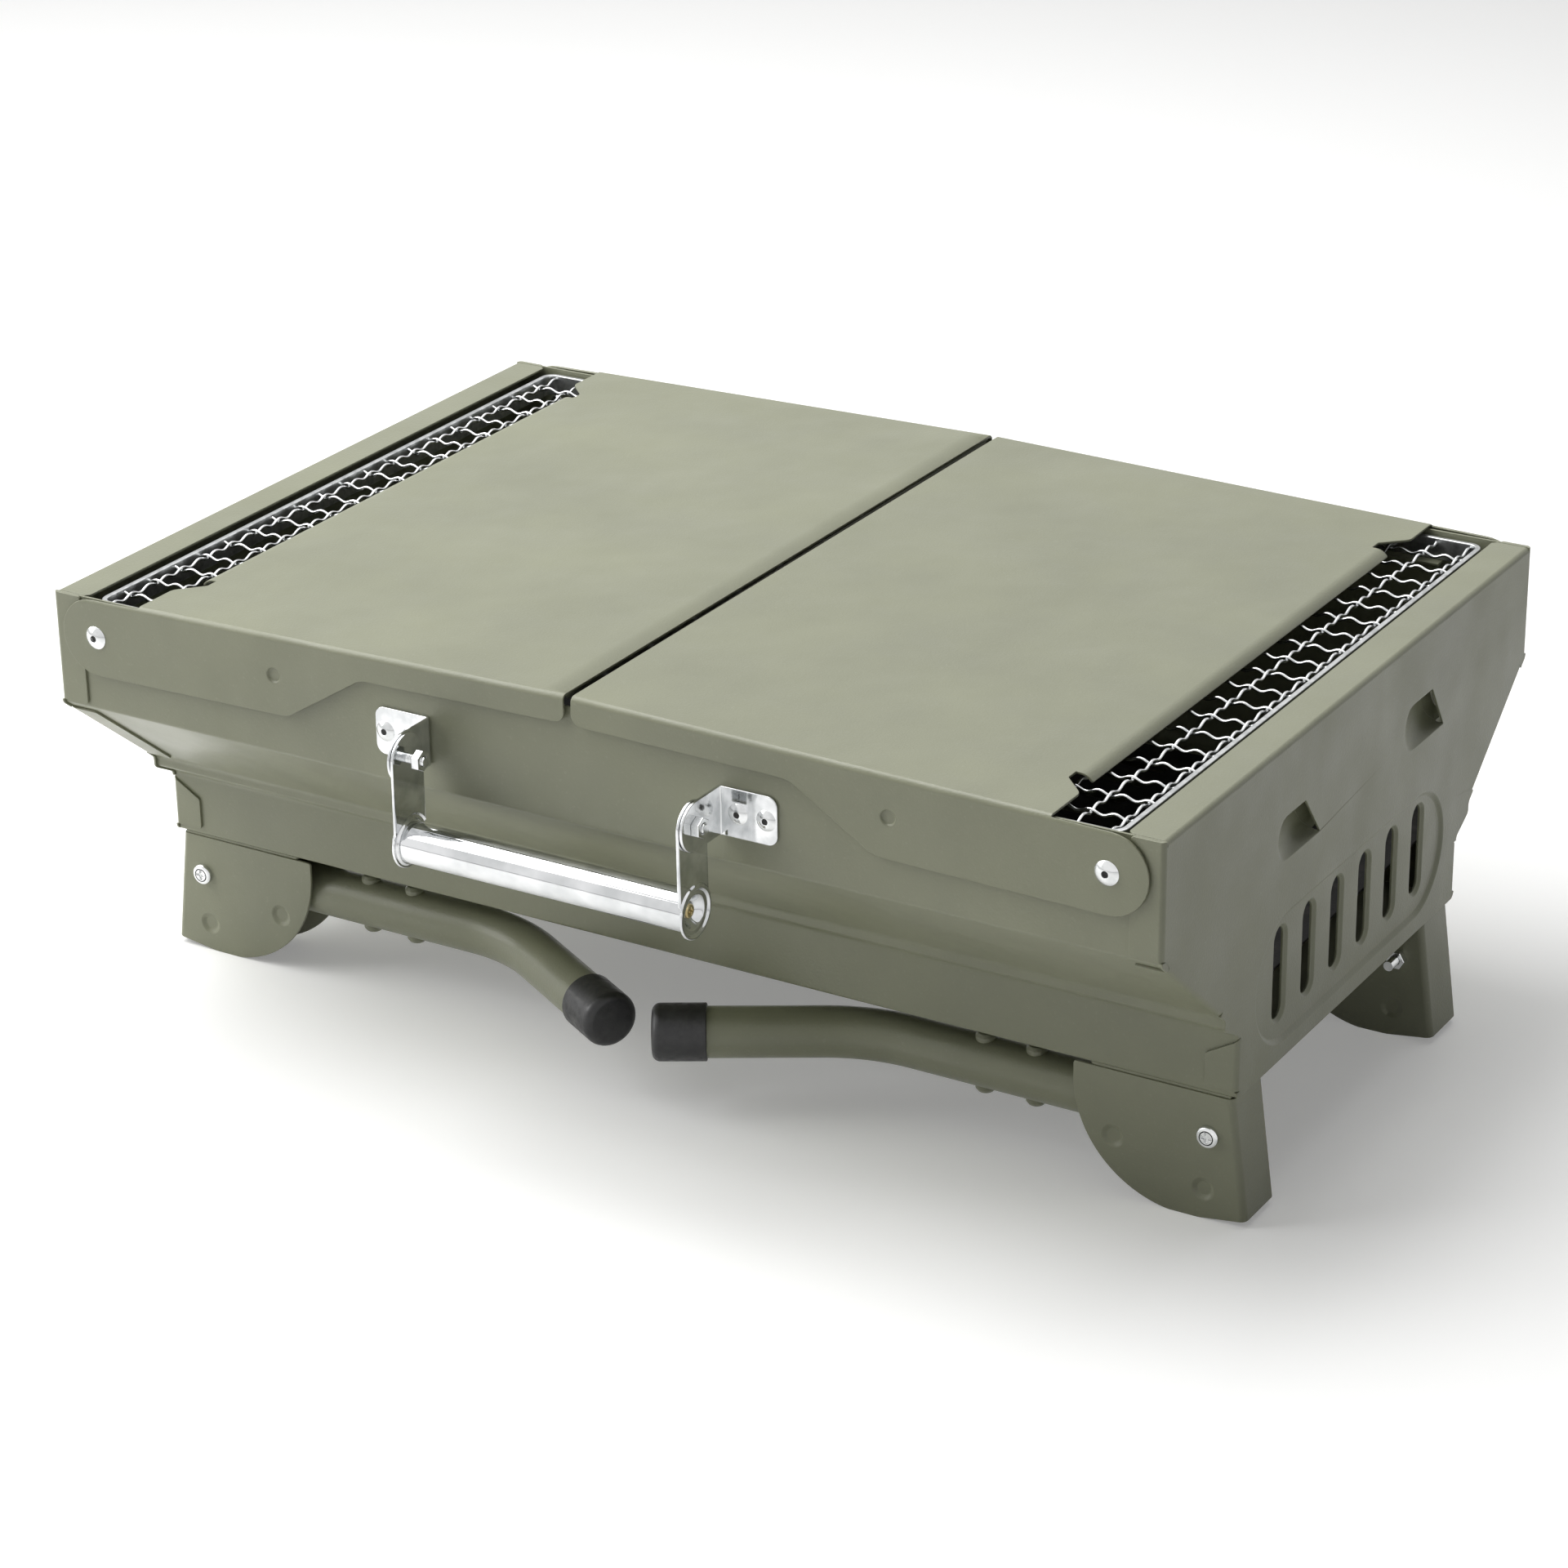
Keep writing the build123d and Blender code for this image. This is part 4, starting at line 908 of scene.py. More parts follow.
@dataclass(frozen=True)
class PowderCoat:
    """Olive polyester powder, sprayed dry on sheet steel and baked.

    It melts to a half-gloss skin with a fine orange peel, a faint large wave where the coat is thicker,
    and a few pale rubs.

    Attributes:
        name: of the material.
        colour: of the paint.
        rubbed: colour where it is rubbed.
        roughness: of the skin.
        peel: size of the orange peel's grain, in mm.
        depth: strength of the grain.
    """

    name: str
    colour: str = "#7E806B"
    rubbed: str = "#989A86"
    roughness: float = 0.36
    peel: float = 0.9
    depth: float = 0.12

    def make(self) -> bpy.types.Material:
        """Builds the material.

        Returns:
            The material.
        """
        material, tree, where = new_material(self.name)
        cloud = speckle(tree, where, 60.0, detail=3.0, start=0.3, end=0.7)
        fleck = speckle(tree, where, 1.4, start=0.62, end=0.78)
        thick = linear(shade(self.colour, 1.06))
        tints = {"Factor": cloud, "A": linear(self.colour), "B": thick}
        body = add(tree, "ShaderNodeMix", tints, data_type="RGBA").outputs["Result"]
        amount = add(tree, "ShaderNodeMath", {0: fleck, 1: 0.22}, operation="MULTIPLY")
        tints = {"Factor": amount.outputs[0], "A": body, "B": linear(self.rubbed)}
        flecked = add(tree, "ShaderNodeMix", tints, data_type="RGBA")
        gloss = speckle(tree, where, 35.0, 4.0, low=self.roughness - 0.04, high=self.roughness + 0.06)
        # the grain is about 0.5 mm on the sheet and is drawn at 0.9 mm so that it shows
        fine = speckle(tree, where, self.peel, start=0.3, end=0.7)
        wave = speckle(tree, where, 26.0, detail=1.0, start=0.3, end=0.7)
        large = add(tree, "ShaderNodeBump", {"Height": wave, "Strength": 0.05, "Distance": 6 * MM})
        peel = {"Height": fine, "Strength": self.depth, "Distance": 0.35 * MM, "Normal": large.outputs[0]}
        bump = add(tree, "ShaderNodeBump", peel)
        inputs = {
            "Base Color": flecked.outputs["Result"],
            "Roughness": gloss,
            "IOR": 1.5,
            "Normal": bump.outputs[0],
        }
        dress(tree, inputs)
        return material


def shade(colour: str, factor: float) -> str:
    """A hex colour with its parts multiplied."""
    parts = [min(255, round(int(colour[i : i + 2], 16) * factor)) for i in (1, 3, 5)]
    return "#" + "".join(f"{part:02X}" for part in parts)


@dataclass(frozen=True)
class Plated:
    """Plated metal: a bright skin that mirrors the room, dulled a little in clouds and hairlines.

    Attributes:
        name: of the material.
        colour: of the metal's mirror.
        dull: colour in its duller clouds.
        roughness: of the polished skin.
        cloud: size of the clouds, in mm.
        scratch: strength of the hairlines.
    """

    name: str
    colour: str = "#E4E5E6"
    dull: str = "#C9CBCC"
    roughness: float = 0.06
    cloud: float = 9.0
    scratch: float = 0.08

    def make(self) -> bpy.types.Material:
        """Builds the material.

        Returns:
            The material.
        """
        material, tree, where = new_material(self.name)
        cloud = speckle(tree, where, self.cloud, detail=3.0, start=0.4, end=0.62)
        tints = {"Factor": cloud, "A": linear(self.colour), "B": linear(self.dull)}
        tone = add(tree, "ShaderNodeMix", tints, data_type="RGBA")
        rough = speckle(tree, where, self.cloud, 3.0, low=self.roughness, high=self.roughness * 1.5)
        stretched = add(tree, "ShaderNodeMapping", {"Vector": where, "Scale": (0.12, 2.2, 2.2)})
        lines = speckle(tree, stretched.outputs[0], 1.0, start=0.5, end=0.7)
        hairlines = {"Height": lines, "Strength": self.scratch, "Distance": 0.05 * MM}
        bump = add(tree, "ShaderNodeBump", hairlines)
        inputs = {
            "Base Color": tone.outputs["Result"],
            "Metallic": 1.0,
            "Roughness": rough,
            "Normal": bump.outputs[0],
        }
        dress(tree, inputs)
        return material


@dataclass(frozen=True)
class Vinyl:
    """Black vinyl dipped over a hot former: a soft low gloss, fine dust in its pores and faint rubs."""

    name: str
    colour: str = "#1B1B1C"
    dust: str = "#3A3A39"
    roughness: float = 0.42

    def make(self) -> bpy.types.Material:
        """Builds the material.

        Returns:
            The material.
        """
        material, tree, where = new_material(self.name)
        dusty = speckle(tree, where, 5.0, detail=5.0, high=0.5, start=0.5, end=0.75)
        tints = {"Factor": dusty, "A": linear(self.colour), "B": linear(self.dust)}
        tone = add(tree, "ShaderNodeMix", tints, data_type="RGBA")
        rough = speckle(tree, where, 3.0, 3.0, low=self.roughness - 0.08, high=self.roughness + 0.12)
        pores = speckle(tree, where, 0.7)
        bump = add(tree, "ShaderNodeBump", {"Height": pores, "Strength": 0.1, "Distance": 0.2 * MM})
        inputs = {
            "Base Color": tone.outputs["Result"],
            "Roughness": rough,
            "IOR": 1.53,
            "Normal": bump.outputs[0],
        }
        dress(tree, inputs)
        return material


@dataclass(frozen=True)
class BlackSteel:
    """Mild steel plate with a heat resistant black: matt, slightly grainy, greyer where it is worn."""

    name: str
    colour: str = "#1D1D1C"
    worn: str = "#45433F"
    roughness: float = 0.6

    def make(self) -> bpy.types.Material:
        """Builds the material.

        Returns:
            The material.
        """
        material, tree, where = new_material(self.name)
        wear = speckle(tree, where, 12.0, detail=6.0, high=0.7, start=0.5, end=0.72)
        tints = {"Factor": wear, "A": linear(self.colour), "B": linear(self.worn)}
        tone = add(tree, "ShaderNodeMix", tints, data_type="RGBA")
        grain = speckle(tree, where, 0.8, detail=3.0)
        bump = add(tree, "ShaderNodeBump", {"Height": grain, "Strength": 0.2, "Distance": 0.2 * MM})
        inputs = {
            "Base Color": tone.outputs["Result"],
            "Roughness": self.roughness,
            "IOR": 1.5,
            "Normal": bump.outputs[0],
        }
        dress(tree, inputs)
        return material


class Slot(Enum):
    """The record's material slots."""

    OLIVE = "olive_powder_coat"
    CHROME = "bright_chrome"
    ZINC = "zinc_plated_steel"
    WIRE = "chromed_wire"
    VINYL = "black_vinyl"
    PLATE = "dark_steel_plate"


@dataclass(frozen=True)
class Finishes:
    """Every material of the grill, made once."""

    olive: bpy.types.Material
    chrome: bpy.types.Material
    edge_chrome: bpy.types.Material
    zinc: bpy.types.Material
    bright_zinc: bpy.types.Material
    yellow_zinc: bpy.types.Material
    wire: bpy.types.Material
    vinyl: bpy.types.Material
    black: bpy.types.Material

    @staticmethod
    def made() -> "Finishes":
        """Builds them all.

        Returns:
            The set of materials.
        """
        return Finishes(
            olive=PowderCoat("olive_powder_coat_baked").make(),
            chrome=Plated("bright_nickel_chrome_plate", roughness=0.035, cloud=20.0, scratch=0.03).make(),
            edge_chrome=Plated("chrome_plated_strap").make(),
            zinc=Plated("clear_zinc_plate", "#C9CBCB", "#A6A8A8", 0.28, 4.0, 0.2).make(),
            bright_zinc=Plated("bright_zinc_plate", "#E4E5E5", "#CFD1D1", 0.13, 6.0, 0.06).make(),
            yellow_zinc=Plated("yellow_zinc_plate", "#D6C79C", "#B3A377", 0.26, 3.0, 0.2).make(),
            wire=Plated("bright_zinc_wire", "#DADBDB", "#B9BBBC", 0.16, 5.0, 0.1).make(),
            vinyl=Vinyl("dipped_black_vinyl").make(),
            black=BlackSteel("black_heated_steel_plate").make(),
        )


# Pieces


def place_piece(
    name: str,
    surface: Surface,
    body: str,
    slot: Slot,
    material: bpy.types.Material,
    replaces: Sequence[str],
) -> None:
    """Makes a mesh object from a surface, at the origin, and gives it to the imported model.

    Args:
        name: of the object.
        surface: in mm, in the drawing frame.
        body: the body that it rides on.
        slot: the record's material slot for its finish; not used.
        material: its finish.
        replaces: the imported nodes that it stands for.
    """
    surface = surface.oriented()
    points = (surface.points + DRAWING_TO_ROW / MM) * MM
    faces = [row for face in surface.faces for row in face.tolist()]
    mesh = bpy.data.meshes.new(name)
    mesh.from_pydata(points.tolist(), [], faces)
    mesh.shade_smooth()
    mesh.normals_split_custom_set_from_vertices(surface.normals.tolist())
    mesh.materials.append(material)
    made = bpy.data.objects.new(name, mesh)
    bpy.context.scene.collection.objects.link(made)
    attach(made, body)
    if replaces:
        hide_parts(*replaces)
    LOG.info("%s: %d points, %d faces", name, len(points), len(faces))


class Side(Enum):
    """A side of the grill, as the sign of x or y there."""

    @property
    def word(self) -> str:
        """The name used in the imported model."""
        return self.name.lower()


class Hand(Side):
    """Left or right, as the photograph shows the grill."""

    LEFT = -1
    RIGHT = 1


class End(Side):
    """Front, where the handle is, or rear."""

    FRONT = -1
    REAR = 1


def at_hands(surface: Surface) -> Surface:
    """A surface drawn at the right, together with its mirror image at the left."""
    return Surface.joined([surface.at_corner(hand.value) for hand in Hand])


def at_corners(surface: Surface) -> Surface:
    """A surface drawn at the right rear, at all four corners of the grill."""
    return Surface.joined([surface.at_corner(hand.value, end.value) for hand in Hand for end in End])


ROOT = "grill_body"


@dataclass(frozen=True)
class Section:
    """The trough's cross section, in mm, that the sheet and the end panels share."""

    width: float = 480.0
    band_y: float = 160.5
    step_y: float = 108.8
    base_y: float = 97.75
    lift: float = 52.5
    ledge_z: float = 78.6
    step_z: float = 84.7
    slope_z: float = 89.1
    band_z: float = 132.1
    rim_z: float = 178.9
    bend: float = 3.0
    ledge_bend: float = 2.6
    rim_round: float = 0.12

    def half(self, inset: float, floor: float) -> tuple[list[tuple[float, float]], list[float]]:
        """Corners and radii at y > 0 from the rim down, moved in by inset.

        Args:
            inset: distance inside the outer face.
            floor: z of the bottom's face.

        Returns:
            The corners as (y, z), and their radii.
        """
        slope = np.arctan2(self.band_z - self.slope_z, self.band_y - self.step_y)
        ledge = np.arctan2(self.step_z - self.ledge_z, self.step_y - self.base_y)
        rise = inset * np.tan((np.pi / 2 - slope) / 2)
        ledge_rise = inset * np.tan((np.pi / 2 - ledge) / 2)
        corners = [
            (self.band_y - inset, self.rim_z),
            (self.band_y - inset, self.band_z + rise),
            (self.step_y - inset, self.slope_z + rise),
            (self.step_y - inset, self.step_z + ledge_rise),
            (self.base_y - inset, self.ledge_z + ledge_rise),
            (self.base_y - inset, floor),
        ]
        round_out, round_in = self.bend - inset, self.bend + inset
        radii = [self.rim_round, round_out, round_in, self.ledge_bend - inset]
        return corners, [*radii, self.ledge_bend + inset, self.ledge_bend - inset]


@dataclass(frozen=True)
class Trough:
    """The folded sheet that makes the front, the slopes, the ledges and the bottom."""

    section: Section = Section()
    sheet: float = 1.0

    def build(self, finishes: Finishes) -> None:
        """Carries the thin closed cross section along x.

        Args:
            finishes: the materials.
        """
        outer, outer_radii = self.section.half(self.sheet, self.section.lift)
        inner, inner_radii = self.section.half(2 * self.sheet, self.section.lift + self.sheet)
        line = [(-y, z) for y, z in outer] + outer[::-1] + inner + [(-y, z) for y, z in inner[::-1]]
        radii = outer_radii + outer_radii[::-1] + inner_radii + inner_radii[::-1]
        outline, _ = rounded(line, radii, steps=6)
        half = self.section.width / 2 - self.sheet
        surface = Blank(outline).solid(Bent(side_plane(half)), 2 * half, edge=0.04, steps=1)
        place_piece("trough_sheet", surface, ROOT, Slot.OLIVE, finishes.olive, ["body_shell"])


@dataclass(frozen=True)
class Vent:
    """A pocket pressed into an end panel and cut open along its slanted edge.

    Attributes:
        left: y of its closed, round end.
        low, high: z of its lower and upper side.
        foot, top: y of the cut edge at its lower and upper end.
        depth: of the pocket at the cut.
        reach: how far the tongue goes on under the panel, past the cut.
        nose: how far the round end curves in at its lower and upper side.
    """

    left: float
    low: float
    high: float
    foot: float
    top: float
    depth: float = 6.8
    reach: float = 9.0
    nose: float = 7.0

    def place(self, u: Array, v: Array) -> Array:
        """Pattern point of u along the pocket (1 at the cut) and v up it.

        Args:
            u: n values.
            v: n values.

        Returns:
            n x 2 points, in the pattern.
        """
        z = self.low + v * (self.high - self.low)
        nose = self.left + self.nose * (1 - np.sqrt(np.clip(1 - (2 * v - 1) ** 2, 0, 1)))
        cut = self.foot + v * (self.top - self.foot)
        return np.stack([nose + u * (cut - nose), z], axis=-1)

    def relief(self, flat: Array) -> Array:
        """Minus depth x (1 - (1 - u)^2) x (1 - |2v - 1|^4), where the point is in the pocket.

        Args:
            flat: n x 2 points, in the pattern.

        Returns:
            n heights.
        """
        past_cut = 1.004  # the cut's own points count as in the pocket
        v = (flat[:, 1] - self.low) / (self.high - self.low)
        clipped = np.clip(v, 0.0, 1.0)
        start, end = (self.place(np.full(len(v), side), clipped)[:, 0] for side in (0.0, 1.0))
        u = (flat[:, 0] - start) / np.maximum(end - start, 1.0)
        on = (v > 0) & (v < 1) & (u > 0) & (u < past_cut)
        shape = (1 - (1 - np.clip(u, 0, 1)) ** 2) * (1 - np.abs(2 * clipped - 1) ** 4)
        return np.where(on, -self.depth * shape, 0.0)

    def guides(self) -> list[Array]:
        """Lines of equal v in the pocket, closer together at its steep sides, and three lines round it.

        Returns:
            The lines.
        """
        first = 0.16  # angle of the lowest line on the half round that spaces them
        v = 0.5 - 0.5 * np.cos(np.linspace(first, np.pi - first, 17))
        u = np.linspace(0.0, 1.0, 17)
        lines = [self.place(u, np.full(len(u), one)) for one in v]
        side = np.linspace(1.0, 0.06, 14)
        nose = 0.5 - 0.5 * np.cos(np.linspace(0.0, np.pi, 21))
        around = np.concatenate(
            [
                self.place(side, np.zeros(len(side))),
                self.place(np.zeros(len(nose)), nose),
                self.place(side[::-1], np.ones(len(side))),
            ]
        )
        ahead = unit(np.gradient(around, axis=0))
        left = np.stack([ahead[:, 1], -ahead[:, 0]], axis=1)
        steps_out = (0.0, 0.3, 1.2)
        return lines + [around - left * step for step in steps_out]

    def tongue(self, frame_of: Frame, sheet: float) -> Surface:
        """The flap beyond the cut, which reaches on under the panel at depth x (1 - |2v - 1|^4).

        Args:
            frame_of: the panel's plane.
            sheet: its thickness.

        Returns:
            The surface.
        """
        first = 0.5  # the tongue is cut free of the pocket's rounded sides
        v = 0.5 - 0.5 * np.cos(np.linspace(first, np.pi - first, 15))
        edge = self.place(np.ones(len(v)), v)
        steps = np.linspace(0.0, self.reach, 4)
        outline = np.concatenate([edge, (edge + (self.reach, 0.0))[::-1]])

        def drop(flat: Array) -> Array:
            """Height of points of the tongue over the panel's outer face."""
            v = (flat[:, 1] - self.low) / (self.high - self.low)
            return -self.depth * (1 - np.abs(2 * v - 1) ** 4)

        across = [edge + (step, 0.0) for step in steps[1:-1]]
        along = [edge[i] + np.stack([steps, 0.0 * steps], axis=1) for i in range(1, len(v) - 1)]
        return Blank(outline, lines=[*across, *along]).solid(Bent(frame_of, relief=drop), sheet, edge=0.2)

    def cut_hole(self, width: float = 0.35) -> Array:
        """The slit along the slanted edge.

        Args:
            width: of the slit.

        Returns:
            n x 2 points of its edge.
        """
        v = np.linspace(0.02, 0.98, 25)
        edge = self.place(np.ones(len(v)), v)
        across = unit(np.array([self.high - self.low, self.foot - self.top]))
        return np.concatenate([edge, (edge + across * width)[::-1]])


@dataclass(frozen=True)
class EndPanel:
    """An end panel: a plate with folded tabs and top flange, a pressed field, air slots and two vents.

    Attributes:
        wall_tab, base_tab: z of the tabs' ends.
        slope_tab: ends of the slope's tab, measured along its fold line.
        field_steps, lip_steps: distances from an edge that the mesh follows, over the slope beside it.
    """

    section: Section = Section()
    sheet: float = 1.0
    fold: float = 2.0
    tab: float = 13.0
    tab_round: float = 1.2
    wall_tab: float = 133.85
    slope_tab: tuple[float, float] = (-61.77, -5.47)
    base_tab: tuple[float, float] = (55.5, 76.9)
    base_tab_shoulder: float = 68.6
    base_gap: float = 0.12
    flange: float = 15.4
    flange_y: float = 158.2
    chamfer: float = 1.8
    notch: float = 0.2
    field_size: tuple[float, float] = (168.6, 53.0)
    field_z: float = 85.5
    field_depth: float = 1.3
    field_steps: tuple[float, ...] = (0.0, 0.5, 1.0, 1.5, 2.0, 2.5)
    slots: int = 6
    slot_pitch: float = 24.5
    slot_size: tuple[float, float] = (9.0, 36.7)
    slot_z: float = 87.3
    lip: float = 1.2
    lip_steps: tuple[float, ...] = (0.4, 0.8, 1.2, 1.6)
    vents: tuple[Vent, ...] = (
        Vent(-69.4, 133.2, 150.6, -33.6, -47.2),
        Vent(41.4, 133.8, 152.6, 78.2, 66.0),
    )

    def spots(self) -> list[tuple[float, float]]:
        """Middles of the air slots."""
        first = (self.slots - 1) / 2
        return [((i - first) * self.slot_pitch, self.slot_z) for i in range(self.slots)]

    def tab_run(self) -> float:
        """Length of a tab in the pattern, from the start of its bend."""
        return self.fold * np.pi / 2 + self.tab - self.fold

    def slope_frame(self) -> tuple[Array, Array, Array]:
        """The slope's fold line: a point at its upper end, the way out and the way up.

        Returns:
            The point and the two unit vectors, all in (y, z).
        """
        s = self.section
        out = unit(np.array([s.band_z - s.slope_z, s.step_y - s.band_y]))
        return np.array([s.band_y, s.band_z]) - self.fold * out, out, np.array([-out[1], out[0]])

    def folds(self) -> tuple[Fold, ...]:
        """The bends of the tabs on both sides and of the top flange.

        Returns:
            The folds.
        """
        s = self.section
        start, out, _ = self.slope_frame()
        reach = self.flange_y
        made = [Fold((0.0, s.rim_z - self.fold), (0.0, 1.0), self.fold, 90.0, -reach, reach)]
        spans = [
            ((s.band_y - self.fold, 0.0), (1.0, 0.0), self.wall_tab, s.rim_z),
            (tuple(start), tuple(out), *self.slope_tab),
            ((s.base_y - self.fold, 0.0), (1.0, 0.0), *self.base_tab),
        ]
        for (y, z), (out_y, out_z), low, high in spans:
            made.append(Fold((y, z), (out_y, out_z), self.fold, 90.0, low, high))
            made.append(Fold((-y, z), (-out_y, out_z), self.fold, 90.0, -high, -low))
        return tuple(made)

    def outline(self) -> Array:
        """The flat pattern's edge, with a relief notch at each end of each tab.

        Returns:
            n x 2 points.
        """
        s, run, gap = self.section, self.tab_run(), self.notch
        flange_top = s.rim_z - self.fold + self.fold * np.pi / 2 + self.flange - self.fold
        start, out, up = self.slope_frame()

        def slope(along: float, away: float) -> tuple[float, float]:
            """A point at distances along the slope's fold line and out from it."""
            return tuple(start + up * along + out * away)

        band, base = s.band_y - self.fold, s.base_y - self.fold
        wall, (slope_low, slope_high), (base_low, base_high) = self.wall_tab, self.slope_tab, self.base_tab
        full, notch_top = self.tab_round, base_high + self.base_gap
        # y, z and radius of each corner, from the top flange down
        right = [
            (self.flange_y - self.chamfer, flange_top, full),
            (self.flange_y, flange_top - self.chamfer, full),
            (self.flange_y, s.rim_z - self.fold - gap, 0.06),
            (band, s.rim_z - self.fold - gap, 0.06),
            (band, s.rim_z, 0.3),
            (band + run, s.rim_z, full),
            (band + run, wall, full),
            (band, wall, 0.08),
            (band, wall - gap, 0.08),
            (s.band_y, wall - gap, 0.12),
            (s.band_y, s.band_z, s.bend),
            (*slope(slope_high + gap, self.fold), 0.12),
            (*slope(slope_high + gap, 0.0), 0.08),
            (*slope(slope_high, 0.0), 0.08),
            (*slope(slope_high, run), full),
            (*slope(slope_low, run), full),
            (*slope(slope_low, 0.0), 0.08),
            (*slope(slope_low - gap, 0.0), 0.08),
            (*slope(slope_low - gap, self.fold), 0.12),
            (s.step_y, s.slope_z, s.bend),
            (s.step_y, s.step_z, s.ledge_bend),
            (s.base_y, s.ledge_z, s.ledge_bend),
            (s.base_y, notch_top, 0.02),
            (base, notch_top, 0.05),
            (base, base_high, 0.05),
            (base + run, self.base_tab_shoulder, full),
            (base + run, base_low, full),
            (base, base_low, 0.08),
            (base, base_low - gap, 0.08),
            (s.base_y, base_low - gap, 0.1),
            (s.base_y, s.lift, s.ledge_bend),
        ]
        left = [(-y, z, r) for y, z, r in right[::-1]]
        corners = np.array((left + right)[::-1])
        return rounded(corners[:, :2], corners[:, 2], steps=4)[0]

    def relief(self, flat: Array) -> Array:
        """Field, slot lips and vents, as height over the plate's outer face.

        Args:
            flat: n x 2 points, in the pattern.

        Returns:
            n heights.
        """
        away = stadium_distance(flat, (0.0, self.field_z), *self.field_size)
        height = -self.field_depth * ease(-away / self.field_steps[-1])
        for spot in self.spots():
            away = stadium_distance(flat, spot, *self.slot_size)
            height -= self.lip * (1 - ease(away / self.lip_steps[-1]))
        for vent in self.vents:
            height += vent.relief(flat)
        return height

    def surface(self) -> Surface:
        """The right panel.

        Returns:
            The surface.
        """
        spots = self.spots()
        loops = [
            stadium((0.0, self.field_z), *self.field_size, grow=-step, count=28)
            for step in self.field_steps
        ]
        loops += [stadium(spot, *self.slot_size, grow=step) for spot in spots for step in self.lip_steps]
        folds = self.folds()
        lines = [line for fold in folds for line in fold.guides()]
        lines += [line for vent in self.vents for line in vent.guides()]
        holes = [stadium(spot, *self.slot_size) for spot in spots]
        holes += [vent.cut_hole() for vent in self.vents]
        blank = Blank(self.outline(), holes, loops, lines)
        frame_right = side_plane(self.section.width / 2)
        sheet = blank.solid(Bent(frame_right, folds, self.relief), self.sheet, edge=0.22)
        return Surface.joined([sheet, *(vent.tongue(frame_right, self.sheet) for vent in self.vents)])

    def build(self, finishes: Finishes) -> None:
        """Makes both panels.

        Args:
            finishes: the materials.
        """
        right = self.surface()
        for hand in Hand:
            shape = right.at_corner(hand.value)
            name = f"end_panel_{hand.word}"
            place_piece(f"{name}_sheet", shape, ROOT, Slot.OLIVE, finishes.olive, [name])


